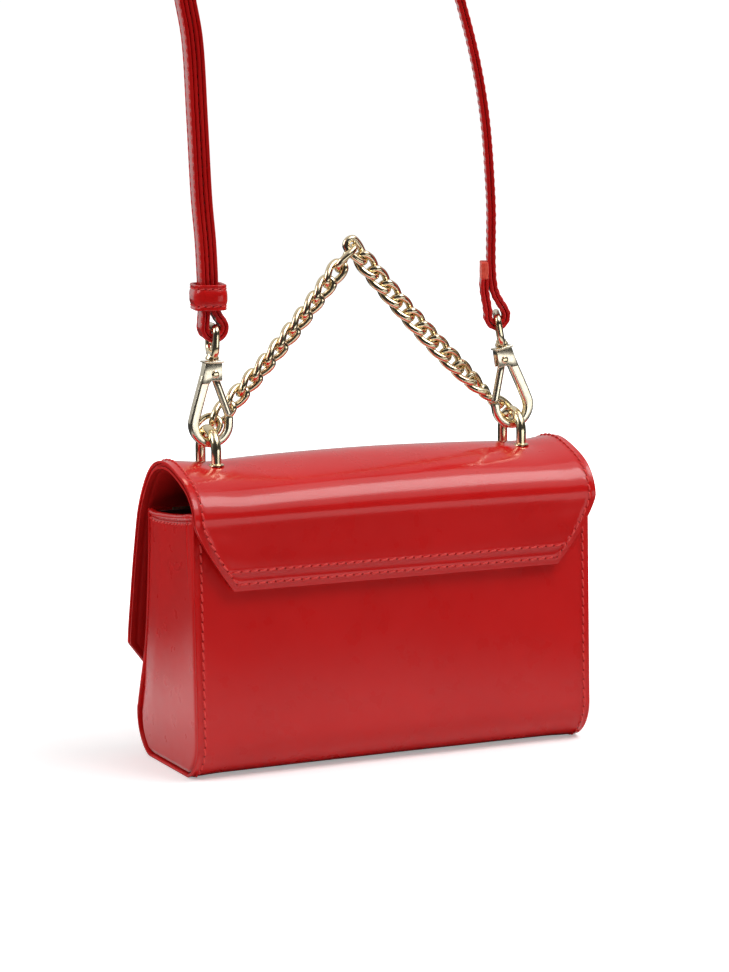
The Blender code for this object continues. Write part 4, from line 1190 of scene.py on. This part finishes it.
def keeper_ring(z, out, thick=5.8, wide=8.8, radius=3.2):
    """Points of the keeper's rounded rectangle at a height, moved out."""
    ring = []
    for sx, sy, start in ((1, 1, 0), (-1, 1, 90), (-1, -1, 180), (1, -1, 270)):
        centre = (sx * (thick - radius), sy * (wide - radius))
        ring += arc(centre, radius + out, start, start + 90, 8)
    turn = Matrix.Translation((LEFT_RUN[0][0], CLIP_Y, z)) @ Matrix.Rotation(-STRAP_TWIST["left"], 4, "Z")
    return [turn @ Vector((*p, 0)) for p in ring]


def make_keeper(paint):
    """A band that swells in the middle, with a stitched and turned rim at both edges."""
    profile = []
    for z in np.linspace(0, KEEPER_HEIGHT, 25):
        rim = min(z, KEEPER_HEIGHT - z)
        profile.append((z, 1.55 + 0.45 * smooth_share(rim, 1.9, 4.6) - 0.35 * gauss(rim - 1.9, 0.5)))
    rings = [keeper_ring(KEEPER_LOW + z, out) for z, out in profile]
    grid = [list(column) for column in zip(*rings)]
    band = sheet("keeper_band", grid, 1.4, paint["leather"], paint["edge"], 0.45, closed=True)
    finish_piece(band, "keeper", "red_leather", "keeper")
    rows = []
    for z in (1.9, KEEPER_HEIGHT - 1.9):
        ring = keeper_ring(KEEPER_LOW + z, 1.3)
        core = keeper_ring(KEEPER_LOW + z, 0)
        row = [(p, (p - q).normalized()) for p, q in zip(ring, core)]
        rows.append(row + row[:1])
    add_stitches("keeper_stitches", rows, paint, "keeper", pitch=3.3, size=0.3)


# ---- studio


def look(location, forward, roll, lens):
    """A camera at the location in mm that looks along forward, turned by roll."""
    data = bpy.data.cameras.new("camera")
    camera = in_scene("camera", data)
    forward = Vector(forward).normalized()
    right = forward.cross(Vector((0, 0, 1))).normalized()
    up = right.cross(forward)
    right = right * math.cos(roll) + up * math.sin(roll)
    up = right.cross(forward)
    turn = Matrix([right, up, -forward]).transposed().to_4x4()
    camera.matrix_world = Matrix.Translation(Vector(location) * MM) @ turn
    data.lens = lens
    data.sensor_width = 36
    data.clip_start = 0.05
    bpy.context.scene.camera = camera


def soft_light(name, location, size, power):
    """A soft box that looks at the bag's middle."""
    data = bpy.data.lights.new(name, "AREA")
    data.shape = "RECTANGLE"
    data.size, data.size_y = size
    data.energy = power
    light = in_scene(name, data)
    turn = (BAG_MIDDLE - Vector(location)).to_track_quat("-Z", "Y")
    light.matrix_world = Matrix.Translation(location) @ turn.to_matrix().to_4x4()


def make_world():
    """White to the camera; light on the leather comes from above and behind, and less from in front."""
    world = bpy.data.worlds.new("studio")
    world.use_nodes = True
    tree = world.node_tree
    seen = tree.nodes["Background"]
    seen.inputs["Color"].default_value = (1, 1, 1, 1)
    seen.inputs["Strength"].default_value = 1.05
    way = tree.nodes.new("ShaderNodeVectorMath")
    way.operation = "DOT_PRODUCT"
    way.inputs[1].default_value = BRIGHT_WAY
    tree.links.new(tree.nodes.new("ShaderNodeTexCoord").outputs["Generated"], way.inputs[0])
    spread = tree.nodes.new("ShaderNodeMapRange")
    spread.inputs["From Min"].default_value = -1
    tree.links.new(way.outputs["Value"], spread.inputs["Value"])
    room = tree.nodes.new("ShaderNodeBackground")
    tree.links.new(ramp(tree, spread.outputs["Result"], ROOM_LIGHT), room.inputs["Color"])
    either = tree.nodes.new("ShaderNodeMixShader")
    tree.links.new(tree.nodes.new("ShaderNodeLightPath").outputs["Is Camera Ray"], either.inputs[0])
    tree.links.new(room.outputs[0], either.inputs[1])
    tree.links.new(seen.outputs[0], either.inputs[2])
    tree.links.new(either.outputs[0], tree.nodes["World Output"].inputs["Surface"])
    bpy.context.scene.world = world


def distance_shade(tree, stops):
    """A grey that changes with the distance from the middle of the bag's base, in metres."""
    away = tree.nodes.new("ShaderNodeVectorMath")
    away.operation = "LENGTH"
    tree.links.new(own_place(tree), away.inputs[0])
    return ramp(tree, away.outputs["Value"], stops)


def stage_card(name, corners, material):
    """One flat face of the studio, which isn't part of the bag."""
    mesh = bpy.data.meshes.new(name)
    mesh.from_pydata(corners, [], [(0, 1, 2, 3)])
    mesh.materials.append(material)
    card = in_scene(name, mesh)
    return card


def level_corners(half_width, front, back, z):
    return [(-half_width, front, z), (half_width, front, z), (half_width, back, z), (-half_width, back, z)]


def make_floor():
    """A white table top that shows full white to the camera at its far edges, so that no edge shows."""
    material, tree, shader = new_material("floor_paper", (0.90, 0.90, 0.90), 0.9)
    shader.inputs["Specular IOR Level"].default_value = 0.1
    shader.inputs["Emission Color"].default_value = (1, 1, 1, 1)
    glow = tree.nodes.new("ShaderNodeMath")
    glow.operation = "MULTIPLY"
    tree.links.new(distance_shade(tree, FLOOR_GLOW), glow.inputs[0])
    tree.links.new(tree.nodes.new("ShaderNodeLightPath").outputs["Is Camera Ray"], glow.inputs[1])
    tree.links.new(glow.outputs[0], shader.inputs["Emission Strength"])
    bump(tree, shader, ((noise(tree, 300, 3), 0.0002, 0.1),))
    stage_card("floor", level_corners(1.5, -2.5, 0.45, 0), material)


def reflected_card(name, corners, glow=0.0):
    """A flat card that only shows in reflections; with no glow of its own it darkens away from the bag."""
    material, tree, shader = new_material(name, (0, 0, 0), 1.0)
    shader.inputs["Specular IOR Level"].default_value = 0.0
    shader.inputs["Emission Color"].default_value = (1, 1, 1, 1)
    shader.inputs["Emission Strength"].default_value = glow
    if not glow:
        tree.links.new(distance_shade(tree, TABLE_SHADE), shader.inputs["Base Color"])
    card = stage_card(name, corners, material)
    card.visible_camera = False
    card.visible_diffuse = False
    card.visible_shadow = False


def make_studio():
    make_world()
    upright = [(-0.45, 0.41, 0.08), (0.02, 0.41, 0.08), (0.02, 0.41, 0.19), (-0.45, 0.41, 0.19)]
    reflected_card("clip_card", upright, 1.7)
    reflected_card("table_card", level_corners(2, -2.4, 1.5, 0.002))
    make_floor()
    bpy.context.scene.view_settings.view_transform = "Standard"
    soft_light("key_box", (-0.54, 0.56, 1.25), (1.0, 0.45), 8.5)
    soft_light("key_halo", (-0.58, 0.60, 1.32), (1.8, 1.25), 8)
    soft_light("left_box", (1.2, -0.15, 0.95), (0.8, 0.8), 6.5)


def main():
    paint = make_materials()
    look(CAMERA_PLACE, CAMERA_FORWARD, CAMERA_ROLL, CAMERA_LENS)
    make_studio()
    make_walls(paint)
    make_gussets(paint)
    make_lining(paint)
    shell = make_flap(paint)
    make_staples(shell, paint)
    make_snap(paint)
    make_chain(paint)
    for side in SIDES:
        make_hook(side, paint)
        make_gate(side, paint)
        make_eye(side, paint)
    make_strap(paint)
    make_keeper(paint)


main()
